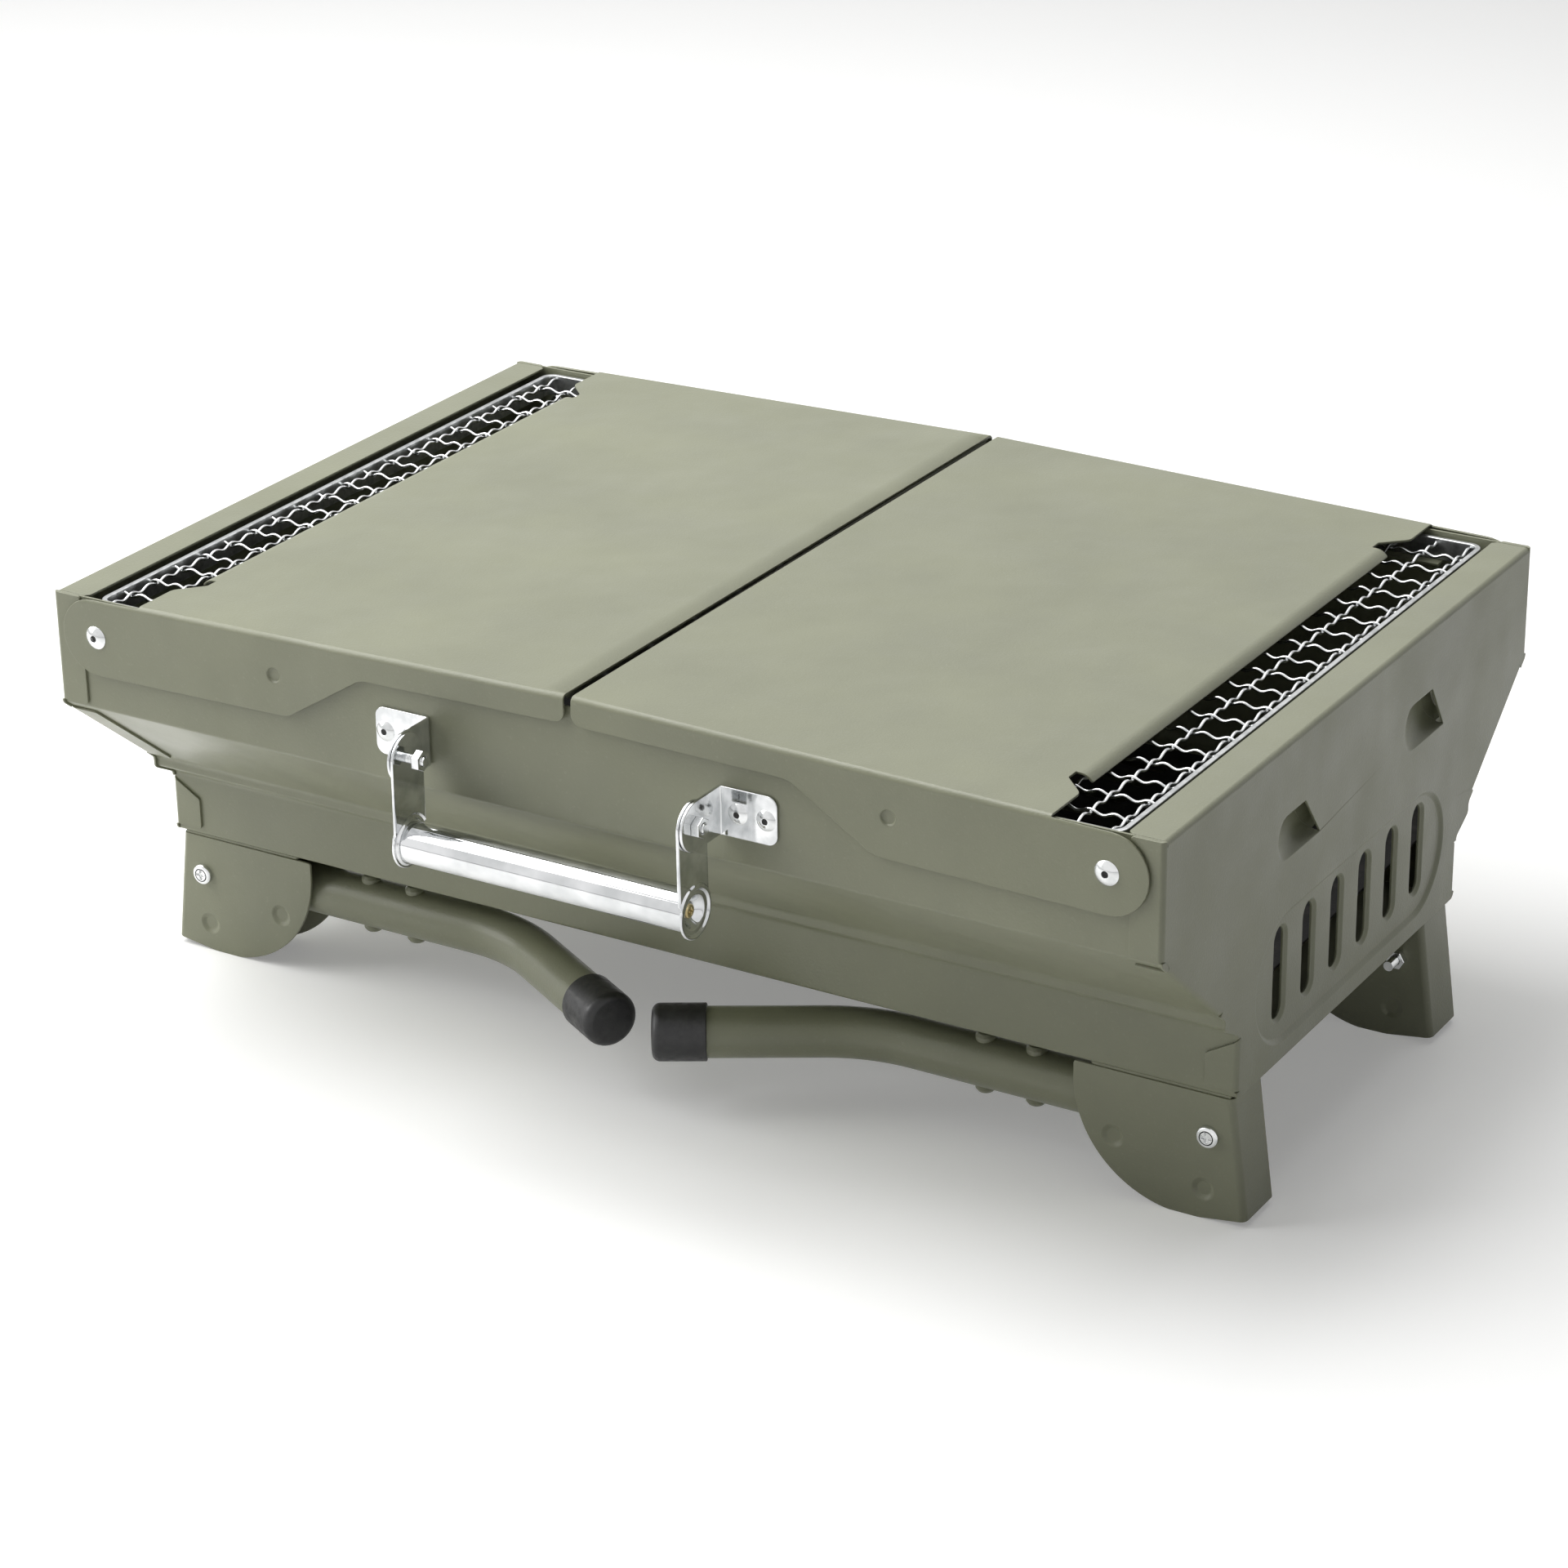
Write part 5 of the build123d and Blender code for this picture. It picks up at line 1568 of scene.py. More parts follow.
@dataclass(frozen=True)
class Lid:
    """A lid: a plate with deep flanges that end in ears, and a bent lip over the end of the net.

    It is drawn flat with the pivot's line at p = 0 and the plate towards -p.

    Attributes:
        pivot: x and z of the line that it turns on.
        tilt: degrees that the shut lid falls towards its outer end.
        top: height of the plate over the pivot.
        strip: how far the strip over the ears reaches below the plate's top.
        skirt: distance from the pivot to where the flanges start to narrow.
        tail: depth of the flanges at the seam.
        dimple_steps: distances inside a press mark's edge that the mesh follows.
    """

    pivot: tuple[float, float] = (219.0, 163.9)
    tilt: float = 1.05
    top: float = 16.295
    outer_y: float = 162.0
    bend: float = 2.4
    ear: float = 16.0
    ear_neck: float = 15.4
    strip: float = 0.65
    inner_end: float = 217.7
    skirt: float = 91.0
    skirt_slope: float = 0.6
    skirt_round: float = 10.0
    tail: float = 11.2
    tail_round: float = 4.5
    corner_x: float = 22.0
    corner_y: float = 140.2
    notch_x: float = 31.5
    shoulder_y: float = 130.6
    lip_x: float = 26.6
    lip_y: float = 125.0
    lip_angle: float = 55.0
    lip_length: float = 6.2
    lip_bend: float = 6.4
    dimple_x: float = 85.6
    dimple: float = 3.4
    dimple_depth: float = 1.1
    dimple_steps: tuple[float, ...] = (0.0, 0.55, 1.1)
    roll: float = 10.0
    roll_drop: float = 3.0
    roll_margin: float = 3.0
    sheet: float = 1.0

    def at_depth(self, depth: float) -> float:
        """Pattern distance from the middle to a depth below the plate's top, past the bend."""
        return self.outer_y - self.bend + self.bend * np.pi / 2 + depth - self.bend

    def lip_start(self) -> float:
        """Where the lip's bend starts in the pattern: half its turn's tangent before its corner."""
        return -self.lip_x - self.lip_bend * np.tan(np.radians(self.lip_angle / 2))

    def folds(self) -> tuple[Fold, ...]:
        """The two long bends and the lip's.

        Returns:
            The folds.
        """
        side = self.outer_y - self.bend
        past_ear, past_seam = self.ear + 4.0, self.inner_end + 1.0
        lip, reach = self.lip_start(), self.lip_y
        return (
            Fold((0.0, side), (0.0, 1.0), self.bend, 90.0, -past_ear, past_seam),
            Fold((0.0, -side), (0.0, -1.0), self.bend, 90.0, -past_seam, past_ear),
            Fold((lip, 0.0), (1.0, 0.0), self.lip_bend, self.lip_angle, -reach, reach),
        )

    def outline(self) -> Array:
        """The flat pattern's edge.

        Returns:
            n x 2 points.
        """
        tail, deep = self.at_depth(self.tail), self.at_depth(self.top + self.ear)
        strip = self.at_depth(self.strip)
        slant = (self.top - self.tail + self.ear) / self.skirt_slope
        # x, y and radius of each corner, from the seam outwards
        half = [
            (-self.inner_end, tail, self.tail_round),
            (-self.skirt - slant, tail, self.skirt_round),
            (-self.skirt, deep, self.skirt_round),
            (self.ear, deep, self.ear - 0.02),
            (self.ear, strip, self.ear_neck),
            (-self.corner_x, strip, 0.5),
            (-self.corner_x, self.corner_y, 5.0),
            (-self.notch_x, self.shoulder_y, 1.0),
            (-self.notch_x, self.lip_y, 0.3),
            (self.lip_start() + self.lip_length, self.lip_y, 0.8),
        ]
        corners = np.array(half + [(x, -y, r) for x, y, r in half[::-1]])[::-1]
        return rounded(corners[:, :2], corners[:, 2], steps=8)[0]

    def relief(self, rolled: bool) -> Callable[[Array], Array]:
        """The press marks, and a rolled inner edge: drop x (distance past its start / length)^2.

        Args:
            rolled: whether the inner edge is rolled.

        Returns:
            A function from points of the pattern to heights.
        """
        middle = np.array([self.dimple_x, self.at_depth(self.top)])

        def height(flat: Array) -> Array:
            """Height of points of the pattern over the plain sheet."""
            away = np.linalg.norm(np.abs(flat) - middle, axis=1)
            made = -self.dimple_depth * ease((self.dimple - away) / self.dimple_steps[-1])
            if rolled:
                past = np.clip((self.roll - self.inner_end - flat[:, 0]) / self.roll, 0, None)
                inboard = self.outer_y - self.bend - np.abs(flat[:, 1])
                made -= self.roll_drop * past**2 * ease(inboard / self.roll_margin)
            return made

        return height

    def surface(self, rolled: bool) -> Surface:
        """The right lid, shut.

        Args:
            rolled: whether the inner edge is rolled.

        Returns:
            The surface.
        """
        mark = self.at_depth(self.top)
        loops = [
            ring(self.dimple - step, (-self.dimple_x, side * mark))
            for step in self.dimple_steps
            for side in (-1, 1)
        ]
        lines = [line for fold in self.folds() for line in fold.guides(6)]
        half, margin = self.outer_y - self.bend, self.roll_margin
        reach = np.array([-half, margin - half, half - margin, half])
        for step in np.linspace(0.0, self.roll * 0.9, 6) if rolled else ():
            across = np.full(4, self.roll - self.inner_end - step)
            lines.append(np.stack([across, reach], axis=1))
        c, s = np.cos(np.radians(self.tilt)), np.sin(np.radians(self.tilt))
        origin = (self.pivot[0] + self.top * s, 0.0, self.pivot[1] + self.top * c)
        place = Bent(Frame(origin, (c, 0.0, -s), (0.0, 1.0, 0.0)), self.folds(), self.relief(rolled))
        return Blank(self.outline(), loops=loops, lines=lines).solid(place, self.sheet, edge=0.3)

    def build(self, finishes: Finishes) -> None:
        """Makes both lids; the left one's inner edge is rolled.

        Args:
            finishes: the materials.
        """
        for hand in Hand:
            shape = self.surface(hand is Hand.LEFT).at_corner(hand.value)
            name = f"lid_{hand.word}"
            body = f"{hand.word}_lid"
            place_piece(f"{name}_sheet", shape, body, Slot.OLIVE, finishes.olive, [name])


@dataclass(frozen=True)
class LidRivets:
    """The pulled rivets that the lids turn on."""

    pivot: tuple[float, float] = (219.0, 163.9)
    outer_y: float = 162.15
    radius: float = 4.75
    rise: float = 1.7
    mandrel: float = 1.25
    mandrel_rise: float = 0.7
    sunk: float = 0.4
    tail_y: float = 158.5
    tail: tuple[float, float] = (3.1, 2.2)

    def build(self, finishes: Finishes) -> None:
        """Makes the four heads and their tails inside the walls, and the mandrels' ends in black, painted
        shade in the heads' holes.

        Args:
            finishes: the materials.
        """
        x, z = self.pivot
        to_rear, to_front = turned_about(0, -90), turned_about(0, 90)
        head = rivet_head(self.radius, self.rise, self.mandrel + MANDREL_GAP, self.sunk)
        head = head.turned(to_rear).moved((x, self.outer_y, z))
        tail = rivet_head(*self.tail).turned(to_front).moved((x, self.tail_y, z))
        whole = at_corners(Surface.joined([head, tail]))
        place_piece("lid_rivet_heads", whole, ROOT, Slot.ZINC, finishes.bright_zinc, ["lid_pivot_rivets"])
        end = mandrel_end(self.mandrel, self.mandrel_rise).turned(to_rear)
        ends = at_corners(end.moved((x, self.outer_y, z)))
        # the mandrels' ends take the black plate finish: painted shade that makes the heads' holes look
        # dark
        place_piece("lid_rivet_mandrels", ends, ROOT, Slot.PLATE, finishes.black, [])


@dataclass(frozen=True)
class CookingNet:
    """The flat bar and the crimped wires of the cooking net.

    A long wire i is z = m + a cos(3 pi x / p + pi i) and a cross wire j is
    z = m - a cos(3 pi y / q + pi j), which is three half waves from crossing to crossing: they pass over
    and under each other in turn, and have one more crimp in each gap.
    """

    size: tuple[float, float] = (444.0, 314.0)
    bar: float = 2.2
    height: float = 9.0
    corner: float = 6.0
    top: float = 177.3
    wire: float = 1.3
    middle: float = 175.3
    crimp: float = 0.75
    waves: int = 3
    seat: float = 0.4
    long_count: int = 19
    long_pitch: float = 15.75
    cross_count: int = 31
    cross_pitch: float = 14.43

    def bar_surface(self) -> Surface:
        """The bar, bent round the corners.

        Returns:
            The surface.
        """
        loops = []
        for inset in (0.0, self.bar):
            x, y = self.size[0] / 2 - inset, self.size[1] / 2 - inset
            corners = [(-x, -y), (x, -y), (x, y), (-x, y)]
            loops.append(rounded(corners, [self.corner - inset] * 4, steps=10)[0])
        place = Bent(level_plane(self.top))
        return Blank(loops[0], [loops[1]]).solid(place, self.height, edge=0.5, steps=3)

    def reach(self, across: float, half_across: float, half_along: float) -> float:
        """How far a wire runs before it meets the bar, which is round at the corners.

        Args:
            across: the wire's distance from the middle.
            half_across: half the bar's inner size that way.
            half_along: half its inner size along the wire.

        Returns:
            Half the wire's length.
        """
        inner = self.corner - self.bar
        into = abs(across) + self.wire / 2 - (half_across - inner)
        if into <= 0:
            return half_along + self.seat
        return half_along - inner + np.sqrt(inner**2 - into**2) + self.seat

    def crimped(self, across: float, half: float, pitch: float, phase: int, sign: float) -> Surface:
        """One wire along x at y = across.

        Args:
            across: its y.
            half: half its length.
            pitch: of the wires that it crosses.
            phase: its number, which turns the wave over.
            sign: 1 for a long wire, -1 for a cross wire.

        Returns:
            The surface.
        """
        per_pitch = 12
        count = int(2 * half / pitch * per_pitch) + 1
        x = np.linspace(-half, half, count)
        rate = self.waves * np.pi / pitch
        wave = self.crimp * np.cos(rate * x + np.pi * phase)
        slope = -sign * self.crimp * rate * np.sin(rate * x + np.pi * phase)
        centre = np.stack([x, np.full(count, across), self.middle + sign * wave], axis=1)
        up = unit(np.stack([-slope, 0 * x, 1 + 0 * x], axis=1))
        side = np.broadcast_to([0.0, 1.0, 0.0], centre.shape)
        return round_ended(centre, side, up, self.wire / 2, count=8)

    def build(self, finishes: Finishes) -> None:
        """Makes the bar and both layers of wires.

        Args:
            finishes: the materials.
        """
        place_piece("net_bar", self.bar_surface(), ROOT, Slot.WIRE, finishes.zinc, ["net_frame"])
        half_x, half_y = self.size[0] / 2 - self.bar, self.size[1] / 2 - self.bar
        rows = (np.arange(self.long_count) - (self.long_count - 1) / 2) * self.long_pitch
        columns = (np.arange(self.cross_count) - (self.cross_count - 1) / 2) * self.cross_pitch
        along = [
            self.crimped(y, self.reach(y, half_y, half_x), self.cross_pitch, i, 1.0)
            for i, y in enumerate(rows)
        ]
        across = [
            self.crimped(x, self.reach(x, half_x, half_y), self.long_pitch, j, -1.0)
            for j, x in enumerate(columns)
        ]
        across = [wire.turned(turned_about(2, -90)) for wire in across]
        for name, wires, node in (("along", along, "long"), ("across", across, "cross")):
            whole = Surface.joined(wires)
            place_piece(f"net_wires_{name}", whole, ROOT, Slot.WIRE, finishes.wire, [f"net_{node}_wires"])


@dataclass(frozen=True)
class NetRails:
    """The angle strips inside the walls that the net rests on."""

    length: float = 410.0
    wall_y: float = 158.5
    top: float = 168.3
    shelf: float = 8.0
    drop: float = 11.0
    strap: float = 1.2
    rounding: tuple[float, ...] = (0.2, 1.4, 0.3, 0.3, 0.3, 0.2)

    def build(self, finishes: Finishes) -> None:
        """Carries an angle section along x.

        Args:
            finishes: the materials.
        """
        wall, top, strap = self.wall_y, self.top, self.strap
        corners = [
            (wall, top - self.drop),
            (wall, top),
            (wall - self.shelf, top),
            (wall - self.shelf, top - strap),
            (wall - strap, top - strap),
            (wall - strap, top - self.drop),
        ]
        outline, _ = rounded(corners, self.rounding, steps=5)
        place = Bent(side_plane(self.length / 2))
        rear = Blank(outline).solid(place, self.length, edge=0.1, steps=1)
        for end in End:
            shape = rear.at_corner(Hand.RIGHT.value, end.value)
            name = f"net_rail_{end.word}"
            place_piece(f"{name}_strip", shape, ROOT, Slot.OLIVE, finishes.olive, [name])


@dataclass(frozen=True)
class CharcoalGrate:
    """The slotted plate that carries the charcoal."""

    size: tuple[float, float] = (468.0, 210.6)
    corner: float = 0.6
    top: float = 86.05
    sheet: float = 1.0
    slot: tuple[float, float] = (40.0, 6.0)
    pitch: tuple[float, float] = (50.0, 17.0)
    columns: int = 9
    rows: int = 11

    def build(self, finishes: Finishes) -> None:
        """Cuts the slots out of a plate with rounded corners.

        Args:
            finishes: the materials.
        """
        x, y = self.size[0] / 2, self.size[1] / 2
        outline, _ = rounded([(-x, -y), (x, -y), (x, y), (-x, y)], [self.corner] * 4)
        columns = (np.arange(self.columns) - (self.columns - 1) / 2) * self.pitch[0]
        rows = (np.arange(self.rows) - (self.rows - 1) / 2) * self.pitch[1]
        holes = [stadium((cx, cy), *self.slot, count=8) for cx in columns for cy in rows]
        surface = Blank(outline, holes).solid(Bent(level_plane(self.top)), self.sheet)
        place_piece("charcoal_plate", surface, ROOT, Slot.PLATE, finishes.black, ["charcoal_grate"])


@dataclass(frozen=True)
class LegChannel:
    """A U channel that stands on the floor and holds a leg, drawn at the right rear."""

    width: float = 24.5
    outer_y: float = 96.25
    lean: float = 7.5
    toe: float = 8.0
    round_radius: float = 45.6
    round_x: float = 219.0
    flat_rise: float = 0.4
    top_x: float = 237.9
    top_z: float = 51.3
    plate_z: float = 52.5
    plate_start: float = 180.0
    bend: float = 2.6
    strap: float = 1.2
    detents: tuple[tuple[float, float], ...] = ((190.0, 24.3), (227.0, 12.2))
    detent: float = 5.0
    detent_depth: float = 1.0
    detent_slope: float = 2.6
    plate_rounding: tuple[float, ...] = (1.5, 0.3, 0.3, 1.5)

    def web(self) -> tuple[Array, Array, Array]:
        """The web's top point, the way down it and its outward normal, all in (x, z).

        Returns:
            The point and the two unit vectors.
        """
        c, s = np.cos(np.radians(self.lean)), np.sin(np.radians(self.lean))
        start = np.array([self.top_x + (self.plate_z - self.top_z) * s / c, self.top_z])
        return start, np.array([s, -c]), np.array([c, s])

    def to_pattern(self, spots: Array) -> Array:
        """Takes (x, z) points of a cheek to (distance past its fold line, distance down the web).

        Args:
            spots: n x 2.

        Returns:
            n x 2.
        """
        start, down, outward = self.web()
        from_start = spots - start
        inboard = -(from_start @ outward)
        return np.stack([inboard - self.bend + self.bend * np.pi / 2, from_start @ down], axis=1)

    def cheek(self) -> Array:
        """A cheek's edge in the pattern, from the web's top round to the web's foot.

        Returns:
            n x 2 points.
        """
        start, down, outward = self.web()
        toe = np.radians(self.toe)
        centre = np.array([self.round_x, self.round_radius - self.flat_rise])
        touch = centre + self.round_radius * np.array([np.sin(toe), -np.cos(toe)])
        along = np.array([np.cos(toe), np.sin(toe)])
        # the toe line meets the web's outer face at the foot
        run = ((start - touch) @ outward) / (along @ outward)
        foot = touch + along * run
        angle = np.linspace(np.pi, 1.5 * np.pi + toe, 40)
        arc = centre + self.round_radius * np.stack([np.cos(angle), np.sin(angle)], axis=1)
        arc[:, 1] = np.maximum(arc[:, 1], 0.0)
        inner_x, top = self.round_x - self.round_radius, self.top_z
        corner = np.array([[inner_x + 1.0, top], [inner_x + 0.3, top - 0.3], [inner_x, top - 1.0]])
        near = start + np.array([-self.bend, 0.0])
        edge = np.concatenate([near[None], corner, arc, (foot - along * self.bend)[None], foot[None]])
        return self.to_pattern(edge)

    def surface(self) -> Surface:
        """The channel, a plate folded twice, and the plate that closes its top.

        Returns:
            The surface.
        """
        start, down, _ = self.web()
        half = self.width / 2 - self.bend
        cheek = self.cheek()
        side = cheek[:-1] + np.array([half, 0.0])
        side = side[side[:, 0] > half + 0.3]
        corners = np.concatenate([[[half, 0.0]], side, [[half, cheek[-1, 1]]]])
        outline = np.concatenate([corners, (corners * [-1, 1])[::-1]])
        marks = self.to_pattern(np.array(self.detents)) + np.array([half, 0.0])
        middle_y = self.outer_y - self.width / 2
        web_plane = Frame((start[0], middle_y, start[1]), (0.0, -1.0, 0.0), (down[0], 0.0, down[1]))
        reach = float(np.abs(side[:, 1]).max()) + 1
        folds = (
            Fold((half, 0.0), (1.0, 0.0), self.bend, 90.0, -reach, reach),
            Fold((-half, 0.0), (-1.0, 0.0), self.bend, 90.0, -reach, reach),
        )

        def relief(flat: Array) -> Array:
            """The press marks on both cheeks, as height over the plain sheet."""
            height = np.zeros(len(flat))
            for mark in marks:
                away = np.linalg.norm(np.abs(flat) * [1, 0] + flat * [0, 1] - mark, axis=1)
                height -= self.detent_depth * ease((self.detent - away) / self.detent_slope)
            return height

        loops = [
            ring(self.detent - step, (sign * mark[0], mark[1]), 28)
            for mark in marks
            for sign in (-1, 1)
            for step in np.linspace(0.0, self.detent_slope, 7)
        ]
        lines = [line for fold in folds for line in fold.guides(6)]
        blank = Blank(outline, loops=loops, lines=lines)
        sheet = blank.solid(Bent(web_plane, folds, relief), self.strap, edge=0.3)
        low, high = self.plate_start, self.top_x - self.strap
        y = self.width / 2 - self.strap / 2
        front, rear = middle_y - y, middle_y + y
        plate, _ = rounded([(low, front), (high, front), (high, rear), (low, rear)], self.plate_rounding)
        cover = Blank(plate).solid(Bent(level_plane(self.plate_z)), self.strap, edge=0.2)
        return Surface.joined([sheet, cover])


@dataclass(frozen=True)
class Leg:
    """A bent tube leg, folded, with its two rivets and its cap, drawn at the right rear."""

    radius: float = 10.0
    wall: float = 1.2
    pivot: tuple[float, float, float] = (228.6705, 84.0, 34.5)
    corner_x: float = 81.6
    bend: float = 70.0
    angle: float = 30.0
    toe: float = 83.83
    cap_length: float = 21.0
    cap_wall: float = 1.2
    cap_end: float = 2.6
    cap_gap: float = 0.05
    cap_rounding: tuple[float, ...] = (3.2, 0.45, 0.45, 0.05)
    rivets: tuple[float, ...] = (130.5, 152.0)
    rivet_radius: float = 4.0
    rivet_rise: float = 2.3
    rivet_sunk: float = 1.2
    rivet_bevel: float = 1.0

    def path(self) -> tuple[Array, Array, Array]:
        """Points, side vectors and up vectors along the middle line.

        Returns:
            Three arrays, n x 3.
        """
        x, y, z = self.pivot
        turn = np.radians(self.angle)
        length = self.toe - self.cap_end
        finish = (self.corner_x - length * np.cos(turn), y + length * np.sin(turn))
        beyond = np.linspace(self.radius, 0.6, 8)
        corners = [(x, y), (self.corner_x, y), finish]
        line, normal = rounded(corners, [self.bend], closed=False, steps=24)
        ahead = np.stack([x + beyond, np.full(len(beyond), y)], axis=1)
        line = np.concatenate([ahead, line])
        normal = np.concatenate([np.repeat(normal[:1], len(beyond), axis=0), normal])
        centre = np.column_stack([line, np.full(len(line), z)])
        side = np.column_stack([-normal, np.zeros(len(normal))])
        up = np.broadcast_to([0.0, 0.0, 1.0], side.shape)
        return centre, side, up

    def tube(self) -> Surface:
        """The wall, its pivot end cut round about the pivot: x past it scales with |cos a| of the circle.

        Returns:
            The surface.
        """
        centre, side, up = self.path()
        about = spokes(side, up, 48)
        rows, normals = [], []
        for radius, sign in ((self.radius, 1.0), (self.radius - self.wall, -1.0)):
            points = centre[:, None] + radius * about
            past = np.maximum(points[..., 0] - self.pivot[0], 0.0)
            height = (points[..., 2] - self.pivot[2]) / self.radius
            points[..., 0] -= past * (1 - np.sqrt(np.clip(1 - height**2, 0.0, 1.0)))
            order = slice(None) if sign > 0 else slice(None, None, -1)
            rows.append(points[order])
            normals.append(sign * about[order])
        return grid(np.concatenate(rows), np.concatenate(normals), close_u=True, close_v=True).welded()

    def rivet_surface(self) -> Surface:
        """Both rivets' flat heads with a bevelled rim, above and below the tube.

        Returns:
            The surface.
        """
        wide, rise, foot = self.rivet_radius, self.rivet_rise, -self.rivet_sunk
        corners = [(0, foot), (wide, foot), (wide, rise * 0.4), (wide - self.rivet_bevel, rise), (0, rise)]
        head = lathe(corners, [0.1, 0.5, 0.5]).moved((0, 0, self.radius))
        pair = [head, head.turned(turned_about(0, 180))]
        spots = [(x, self.pivot[1], self.pivot[2]) for x in self.rivets]
        return Surface.joined([one.moved(spot) for spot in spots for one in pair])

    def cap(self) -> Surface:
        """The cap: a closed cup turned about the leg's end.

        Returns:
            The surface.
        """
        outer, inner = self.radius + self.cap_wall, self.radius + self.cap_gap
        long, end = self.cap_length, self.cap_end
        corners = [(0, 0), (outer, 0), (outer, long), (inner, long), (inner, end), (0, end)]
        body = lathe(corners, self.cap_rounding, count=56, steps=8)
        turn = np.radians(self.angle)
        # +z of the cup points back along the leg: x = cos, y = -sin
        back = np.array([np.cos(turn), -np.sin(turn), 0.0])
        across = np.array([np.sin(turn), np.cos(turn), 0.0])
        matrix = np.stack([across, np.cross(back, across), back], axis=1)
        tip = np.array([self.corner_x, *self.pivot[1:]]) - back * self.toe
        return body.turned(matrix).moved(tip)


@dataclass(frozen=True)
class Corners:
    """The four leg channels, the legs and the bolts that they turn on."""

    channel: LegChannel = LegChannel()
    leg: Leg = Leg()
    screw: float = 4.0
    head: float = 8.8
    head_rise: float = 2.4
    recess: float = 4.6
    nut_flats: float = 7.0
    nut_thickness: float = 3.2
    thread_end: float = 6.0

    def bolts(self) -> tuple[Surface, Surface]:
        """The right rear bolt and nut.

        Returns:
            The two surfaces, in mm.
        """
        spot = (self.leg.pivot[0], self.channel.outer_y, self.leg.pivot[2])
        width = self.channel.width
        grip = width + self.nut_thickness
        head = pan_head(self.head, self.head_rise, self.recess)
        shank = thread(self.screw, -grip - self.thread_end, 0.0)
        bolt = Surface.joined([head, shank]).turned(turned_about(0, -90)).moved(spot)
        hexagon = nut(self.nut_flats, self.nut_thickness, self.screw).turned(turned_about(0, 90))
        return bolt, hexagon.moved((spot[0], spot[1] - width, spot[2]))

    def build(self, finishes: Finishes) -> None:
        """Makes every corner's pieces.

        Args:
            finishes: the materials.
        """
        channel, leg = self.channel.surface(), self.leg
        made = {
            "leg_channel": (channel, Slot.OLIVE, finishes.olive, "pressing"),
            "leg_tube": (leg.tube(), Slot.OLIVE, finishes.olive, "bent"),
            "leg_rivets": (leg.rivet_surface(), Slot.OLIVE, finishes.olive, "heads"),
            "leg_cap": (leg.cap(), Slot.VINYL, finishes.vinyl, "dipped"),
        }
        for end in End:
            for hand in Hand:
                for kind, (surface, slot, material, word) in made.items():
                    node = f"{kind}_{end.word}_{hand.word}"
                    body = ROOT if kind == "leg_channel" else f"{end.word}_{hand.word}_leg"
                    shape = surface.at_corner(hand.value, end.value)
                    place_piece(f"{node}_{word}", shape, body, slot, material, [node])
        for surface, name in zip(self.bolts(), ("leg_bolts", "leg_nuts")):
            whole = at_corners(surface)
            place_piece(f"{name}_plated", whole, ROOT, Slot.ZINC, finishes.bright_zinc, [name])


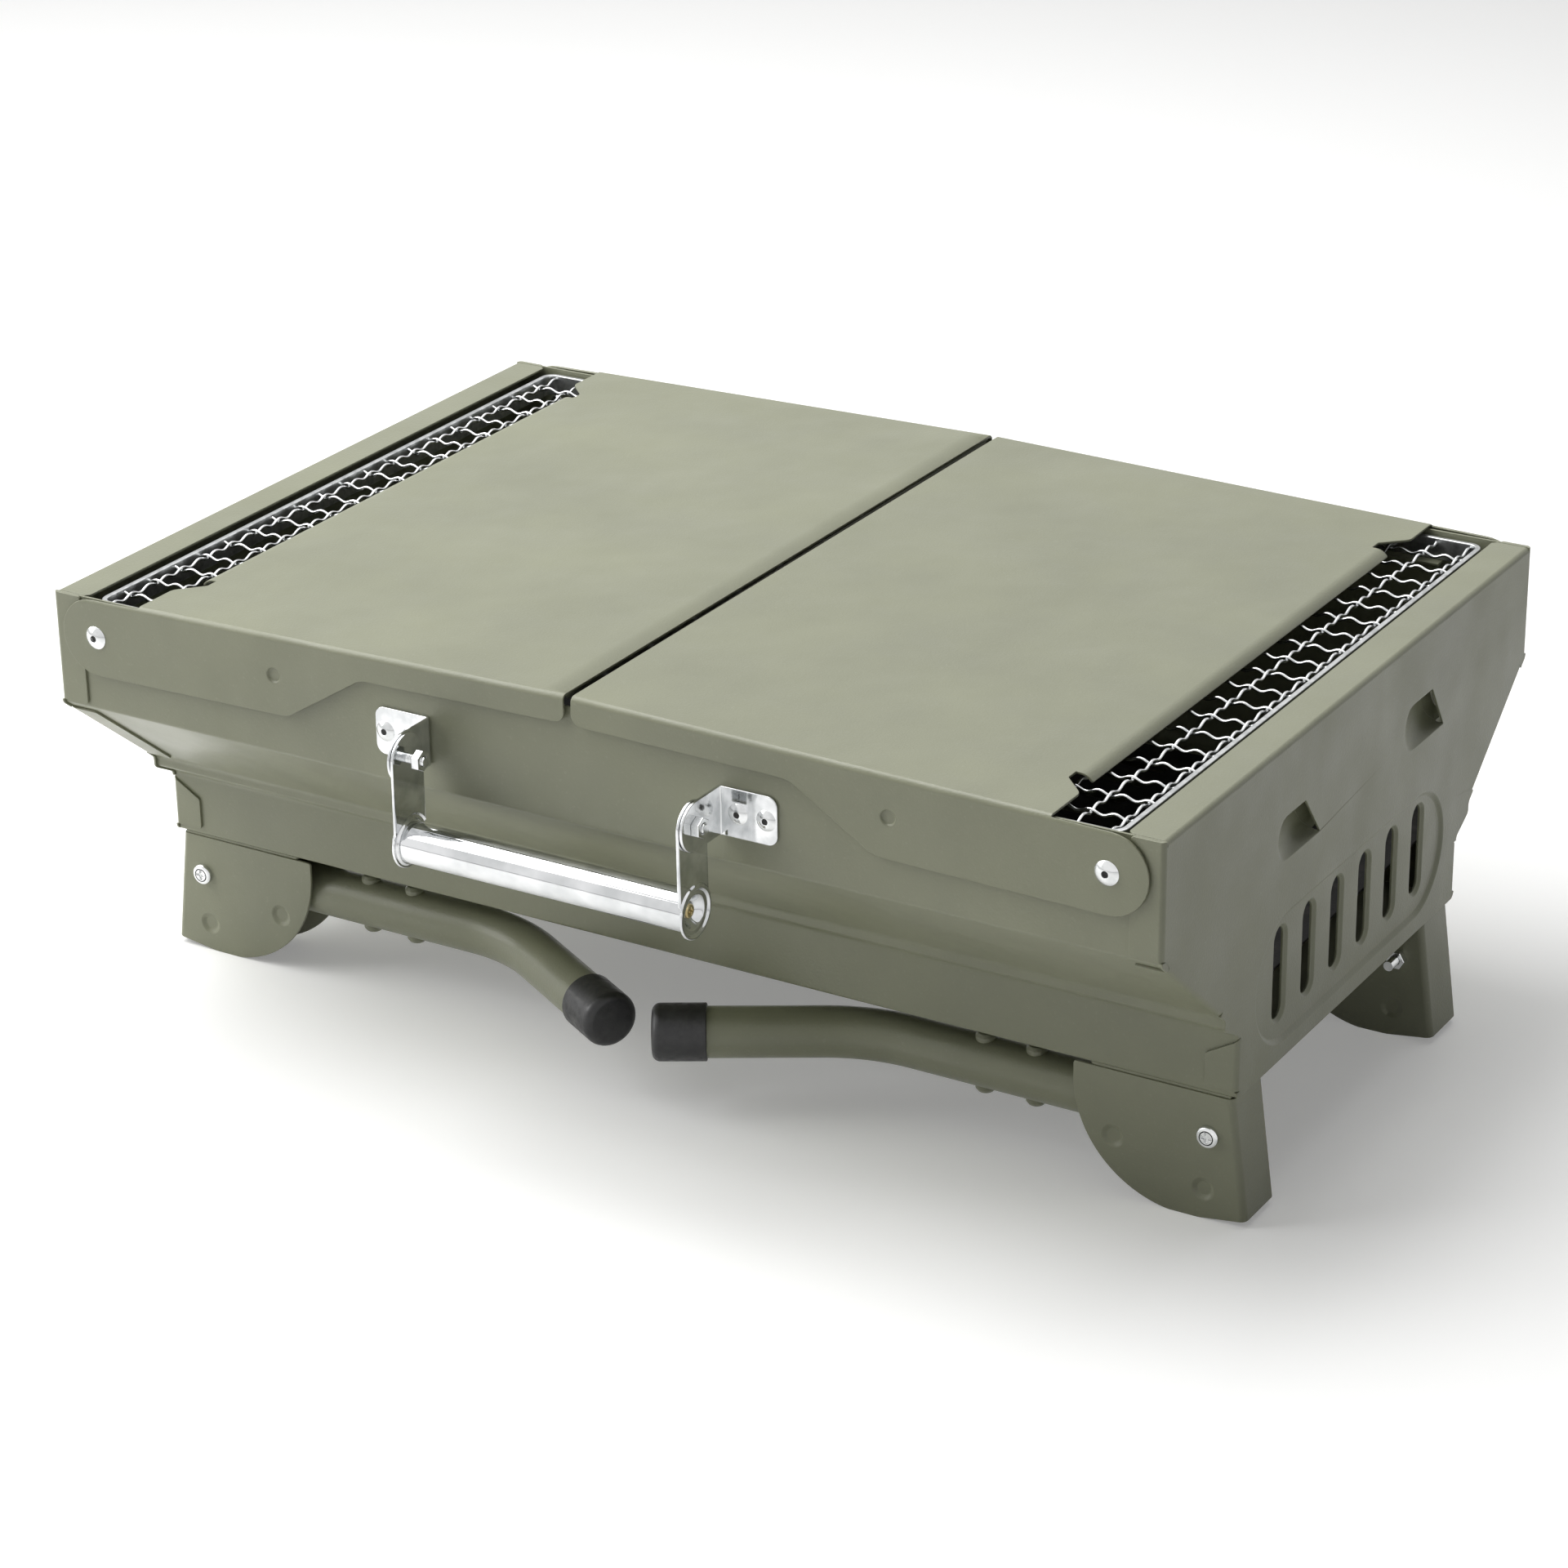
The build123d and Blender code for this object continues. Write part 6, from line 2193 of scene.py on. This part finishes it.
@dataclass(frozen=True)
class Handle:
    """The carry handle: brackets riveted to the wall, arms with dished cups, and a grip tube.

    Attributes:
        fold_x: x of the right ear's inner face, from which rivets and plate are measured.
        rivet, tail: radius and rise of the rivets' heads and tails.
        drop: distance from the pivot to the grip's middle.
        rim: distances from the grip's middle where the arm's raised rim starts and ends.
        screw: diameter, rise and recess of the screws in the bowls.
        nut_offset: distance of the left nut from its arm.
    """

    wall_y: float = 159.5
    wall: float = 1.0
    strap: float = 1.2
    fold_x: float = 62.7
    fold: float = 1.8
    plate: float = 24.8
    height: float = 19.2
    plate_corner: float = 4.0
    pivot_y: float = -177.0
    pivot_z: float = 152.65
    rivets: tuple[float, ...] = (8.5, 20.3)
    rivet: tuple[float, float] = (4.1, 1.4)
    tail: tuple[float, float] = (2.7, 2.0)
    mandrel: float = 1.15
    mandrel_rise: float = 0.6
    drop: float = 34.0
    arm_gap: float = 0.3
    cup: float = 20.3
    dish: float = 14.0
    dish_depth: float = 3.2
    dish_slope: float = 3.6
    rim: tuple[float, float] = (8.2, 11.2)
    rim_slope: tuple[float, float] = (1.2, 1.0)
    rim_rise: float = 0.9
    tube: float = 16.0
    bore: float = 14.0
    grip_rounding: tuple[float, ...] = (0.1, 0.3, 0.3, 0.3, 0.3, 0.1)
    screw: tuple[float, float, float] = (5.6, 1.8, 3.2)
    bolt: float = 4.0
    bolt_head: tuple[float, float] = (3.5, 0.9)
    nut_flats: float = 7.2
    nut_thickness: float = 3.2
    nut_offset: float = 3.9
    thread_end: float = 0.8

    def bracket(self) -> Surface:
        """The right bracket: a flat strap folded away from the wall into a round ear.

        Returns:
            The surface.
        """
        start = self.fold_x + self.fold
        run = self.fold * np.pi / 2 - self.pivot_y - self.wall_y - self.fold
        half = self.height / 2
        end = self.fold_x + self.plate
        eye = start - run
        corners = [(eye - half, -half), (end, -half), (end, half), (eye - half, half)]
        radii = [half - 0.02, self.plate_corner, self.plate_corner, half - 0.02]
        outline, _ = rounded(corners, radii, steps=12)
        outline = outline + np.array([0.0, -self.pivot_z])
        fold = Fold((start, -self.pivot_z), (-1.0, 0.0), self.fold, 90.0, -half - 1, half + 1)
        place = Bent(Frame((0.0, -self.wall_y, 0.0), (1.0, 0.0, 0.0), (0.0, 0.0, -1.0)), (fold,))
        return Blank(outline, lines=fold.guides(8)).solid(place, self.strap, edge=0.4, steps=3)

    def arm(self) -> Surface:
        """The right arm: a strap with a slightly wider round end, a raised rim and a bowl for the screw.

        At a distance a from the middle of the round end, with e the smooth step from 0 to 1, the outer
        face lies rim_rise x e((a - rim start) / inner slope) x e((rim end - a) / outer slope) -
        dish_depth x e((dish / 2 - a) / dish_slope) high.

        Returns:
            The surface.
        """
        half, round_cup = self.height / 2, self.cup / 2
        upper = np.linspace(0.0, np.pi, 24)
        shoulder = np.arccos(half / round_cup)
        lower = np.linspace(np.pi - shoulder, 2 * np.pi + shoulder, 36)
        top = np.stack([half * np.cos(upper), half * np.sin(upper)], axis=1)
        bottom = np.stack([round_cup * np.cos(lower), round_cup * np.sin(lower) - self.drop], axis=1)
        outline = np.concatenate([top, bottom]) + np.array([self.pivot_y, self.pivot_z])
        middle = np.array([self.pivot_y, self.pivot_z - self.drop])
        edge, (start, end), (rise, fall) = self.dish / 2, self.rim, self.rim_slope

        def relief(flat: Array) -> Array:
            """Height of points of the strap over its plain outer face."""
            away = np.linalg.norm(flat - middle, axis=1)
            rim = ease((away - start) / rise) * ease((end - away) / fall)
            return self.rim_rise * rim - self.dish_depth * ease((edge - away) / self.dish_slope)

        bowl = np.linspace(edge - self.dish_slope, edge, 10)
        inner, outer = np.linspace(start, start + rise, 5), np.linspace(end - fall, end, 5)
        crest = (inner[-1] + outer[0]) / 2
        loops = [ring(radius, middle, 48) for radius in (*bowl, *inner, crest, *outer)]
        place = Bent(side_plane(self.fold_x - self.arm_gap), relief=relief)
        return Blank(outline, loops=loops).solid(place, self.strap, edge=0.42, steps=3)

    def grip(self) -> Surface:
        """The polished tube between the arms, with its plugs, open at both ends for the bowls.

        Returns:
            The surface.
        """
        half = self.fold_x - self.arm_gap - self.strap
        deep, radius, bore = half - self.dish_depth, self.tube / 2, self.bore / 2
        right = [(bore, deep), (bore, half), (radius, half)]
        left = [(r, -x) for r, x in right]
        corners = [(0, -deep), *left, *right[::-1], (0, deep)]
        body = lathe(corners, self.grip_rounding, count=72)
        return body.turned(turned_about(1, 90)).moved((0.0, self.pivot_y, self.pivot_z - self.drop))

    def screws(self) -> Surface:
        """The screws that hold the arms to the grip, in both bowls.

        Returns:
            The surface.
        """
        bowl_x = self.fold_x - self.arm_gap - self.dish_depth
        screw = pan_head(*self.screw).turned(turned_about(1, 90))
        return at_hands(screw.moved((bowl_x, self.pivot_y, self.pivot_z - self.drop)))

    def pivots(self) -> tuple[Surface, Surface]:
        """Both pivot bolts and both nuts; the bolts go in from the left.

        Returns:
            The bolts and the nuts.
        """
        out, back = turned_about(1, 90), turned_about(1, -90)
        outer, inner = self.fold_x + self.strap, self.fold_x - self.arm_gap - self.strap
        hexagon = nut(self.nut_flats, self.nut_thickness, self.bolt).turned(out)
        bolts, nuts = [], []
        for head_x, nut_x in ((-outer, self.nut_offset - inner), (inner, outer)):
            end = nut_x + self.nut_thickness + self.thread_end
            head = rivet_head(*self.bolt_head).turned(back).moved((head_x, 0.0, 0.0))
            bolts += [head, thread(self.bolt, head_x, end).turned(out)]
            nuts.append(hexagon.moved((nut_x, 0.0, 0.0)))
        pivot = (0.0, self.pivot_y, self.pivot_z)
        return Surface.joined(bolts).moved(pivot), Surface.joined(nuts).moved(pivot)

    def bracket_rivets(self) -> tuple[Surface, Surface]:
        """The heads and tails of the brackets' rivets, and the mandrels' ends in the heads.

        Returns:
            The rivets and the mandrels' ends.
        """
        forward, to_rear = turned_about(0, 90), turned_about(0, -90)
        head = rivet_head(*self.rivet, self.mandrel + MANDREL_GAP).turned(forward)
        tail = rivet_head(*self.tail).turned(to_rear)
        end = mandrel_end(self.mandrel, self.mandrel_rise).turned(forward)
        face, behind = -self.wall_y - self.strap, self.wall - self.wall_y
        rivets, ends = [], []
        for reach in self.rivets:
            x = self.fold_x + reach
            rivets += [head.moved((x, face, self.pivot_z)), tail.moved((x, behind, self.pivot_z))]
            ends.append(end.moved((x, face, self.pivot_z)))
        return at_hands(Surface.joined(rivets)), at_hands(Surface.joined(ends))

    def build(self, finishes: Finishes) -> None:
        """Makes the handle's pieces, those at the right mirrored to the left.

        Args:
            finishes: the materials.
        """
        for kind, surface, body in (
            ("handle_bracket", self.bracket(), ROOT),
            ("handle_arm", self.arm(), "handle"),
        ):
            for hand in Hand:
                node = f"{kind}_{hand.word}"
                shape = surface.at_corner(hand.value)
                place_piece(f"{node}_strap", shape, body, Slot.CHROME, finishes.edge_chrome, [node])
        place_piece("handle_grip", self.grip(), "handle", Slot.CHROME, finishes.chrome, ["handle_tube"])
        bolts, nuts = self.pivots()
        rivets, ends = self.bracket_rivets()
        # the mandrels' ends take the black plate finish: painted shade that makes the rivet heads' holes
        # look dark
        place_piece("handle_bracket_mandrels", ends, ROOT, Slot.PLATE, finishes.black, [])
        for name, whole, body, material in (
            ("handle_screws", self.screws(), "handle", finishes.yellow_zinc),
            ("handle_bolts", bolts, ROOT, finishes.bright_zinc),
            ("handle_nuts", nuts, ROOT, finishes.bright_zinc),
            ("handle_bracket_rivets", rivets, ROOT, finishes.bright_zinc),
        ):
            place_piece(f"{name}_plated", whole, body, Slot.ZINC, material, [name])


@dataclass(frozen=True)
class KeptNodes:
    """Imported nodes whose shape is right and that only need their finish, which is plain zinc plate."""

    starts: tuple[str, ...] = ("lid_washers", "channel_rivets", "handle_plugs", "leg_sleeve")

    def build(self, finishes: Finishes) -> None:
        """Assigns each node's material.

        Args:
            finishes: the materials.
        """
        for name, made in frame["nodes"].items():
            if name.startswith(self.starts):
                for index in range(len(made.material_slots)):
                    made.material_slots[index].material = finishes.zinc
                LOG.info("%s keeps its shape", name)


# Studio


@dataclass(frozen=True)
class Studio:
    """A pale floor in a white room, soft lights overhead and at the left, and the photograph's camera.

    Attributes:
        lamps: name, place, width and height in metres and watts of each soft light.
        room_level: of the room's own light on the grill.
        floor_lift: how much paler the camera and mirrors see the floor than its light makes it.
    """

    place: tuple[float, float, float] = (828.75246, -1357.11152, 795.12279)
    right: tuple[float, float, float] = (0.85648533, 0.51597883, -0.01409679)
    up: tuple[float, float, float] = (-0.19779717, 0.35330883, 0.91435723)
    back: tuple[float, float, float] = (0.4767695, -0.78034525, 0.40466299)
    lens: float = 100.8466
    floor_colour: str = "#F2F2F1"
    floor_lift: float = 0.24
    room_level: float = 0.09
    lamps: tuple[tuple[str, tuple[float, float, float], tuple[float, float], float], ...] = (
        ("overhead_softbox", (-0.35, 0.5, 1.9), (1.9, 1.6), 17.6),
        ("upper_left_softbox", (-0.9, -0.2, 1.9), (1.6, 1.6), 31.4),
        ("left_window", (-1.7, -0.8, 1.1), (1.6, 1.4), 25.3),
    )

    def camera(self) -> None:
        """Puts the camera where the photograph was taken from."""
        data = bpy.data.cameras.new("photo_view")
        data.lens = self.lens
        data.sensor_width = 36.0
        data.clip_start = 0.05
        made = bpy.data.objects.new("photo_view", data)
        matrix = Matrix.Identity(4)
        for column, vector in enumerate((self.right, self.up, self.back, Vector(self.place) * MM)):
            for row in range(3):
                matrix[row][column] = vector[row]
        made.matrix_world = matrix
        bpy.context.scene.collection.objects.link(made)
        bpy.context.scene.camera = made

    def seen(self, tree: bpy.types.NodeTree) -> tuple[bpy.types.Node, bpy.types.NodeSocket]:
        """The light path's node, and a value that is 1 for the camera and for mirrors.

        Args:
            tree: the node tree.

        Returns:
            The node and the value's socket.
        """
        path = add(tree, "ShaderNodeLightPath")
        inputs = {0: path.outputs["Is Camera Ray"], 1: path.outputs["Is Glossy Ray"]}
        return path, add(tree, "ShaderNodeMath", inputs, operation="MAXIMUM").outputs[0]

    def floor(self) -> None:
        """A wide pale floor that turns white far from the object but keeps its shadow."""
        mesh = bpy.data.meshes.new("floor")
        reach = 6.0
        corners = [(-reach, -reach, 0), (reach, -reach, 0), (reach, reach, 0), (-reach, reach, 0)]
        mesh.from_pydata(corners, [], [(0, 1, 2, 3)])
        made = bpy.data.objects.new("floor", mesh)
        bpy.context.scene.collection.objects.link(made)
        material, tree, where = new_material("pale_studio_paper")
        grain = speckle(tree, where, 3.0, detail=3.0, low=0.75, high=0.85)
        _, seen = self.seen(tree)
        lift = add(tree, "ShaderNodeMath", {0: seen, 1: self.floor_lift}, operation="MULTIPLY")
        inputs = {
            "Base Color": linear(self.floor_colour),
            "Roughness": grain,
            "Specular IOR Level": 0.2,
            "Emission Color": (1.0, 1.0, 1.0, 1.0),
            "Emission Strength": lift.outputs[0],
        }
        dress(tree, inputs)
        mesh.materials.append(material)
        made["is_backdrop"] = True

    def lamp(self, name: str, spot: Sequence[float], size: Sequence[float], power: float) -> None:
        """A soft rectangular light that faces the grill.

        Args:
            name: of the light.
            spot: its place, in metres.
            size: its width and height, in metres.
            power: in watts.
        """
        data = bpy.data.lights.new(name, "AREA")
        data.shape = "RECTANGLE"
        data.size, data.size_y = size
        data.energy = power
        made = bpy.data.objects.new(name, data)
        made.location = spot
        direction = Vector((0.0, 0.0, 0.1)) - Vector(spot)
        made.rotation_euler = direction.to_track_quat("-Z", "Y").to_euler()
        bpy.context.scene.collection.objects.link(made)

    def world(self) -> None:
        """White for the camera and for mirrors, and a plain soft level for the light itself."""
        made = bpy.data.worlds.new("white_room")
        made.use_nodes = True
        tree = made.node_tree
        tree.nodes.clear()
        path, seen = self.seen(tree)
        inputs = {0: seen, 1: path.outputs["Is Transmission Ray"]}
        through = add(tree, "ShaderNodeMath", inputs, operation="MAXIMUM")
        spread = {"Value": through.outputs[0], "To Min": self.room_level, "To Max": 1.0}
        level = add(tree, "ShaderNodeMapRange", spread)
        inputs = {"Color": (1.0, 1.0, 1.0, 1.0), "Strength": level.outputs[0]}
        background = add(tree, "ShaderNodeBackground", inputs)
        add(tree, "ShaderNodeOutputWorld", {"Surface": background.outputs[0]})
        bpy.context.scene.world = made

    def build(self) -> None:
        """Sets up the whole studio."""
        bpy.context.scene.view_settings.view_transform = "Standard"
        self.camera()
        self.floor()
        self.world()
        for lamp in self.lamps:
            self.lamp(*lamp)


def write_sizes() -> None:
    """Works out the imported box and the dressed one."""
    boxes = {"cad": CAD_BOX, "visual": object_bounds()}
    plain = {name: [list(map(float, corner)) for corner in box] for name, box in boxes.items()}


def main() -> None:
    """Builds the grill and the studio round it."""
    logging.basicConfig(level=logging.INFO, format="%(message)s")
    finishes = Finishes.made()
    for assembly in (
        Trough(),
        EndPanel(),
        Lid(),
        LidRivets(),
        CookingNet(),
        NetRails(),
        CharcoalGrate(),
        Corners(),
        Handle(),
        KeptNodes(),
    ):
        LOG.info("%s", type(assembly).__name__)
        assembly.build(finishes)
    Studio().build()
    write_sizes()


if __name__ == "__main__":
    main()
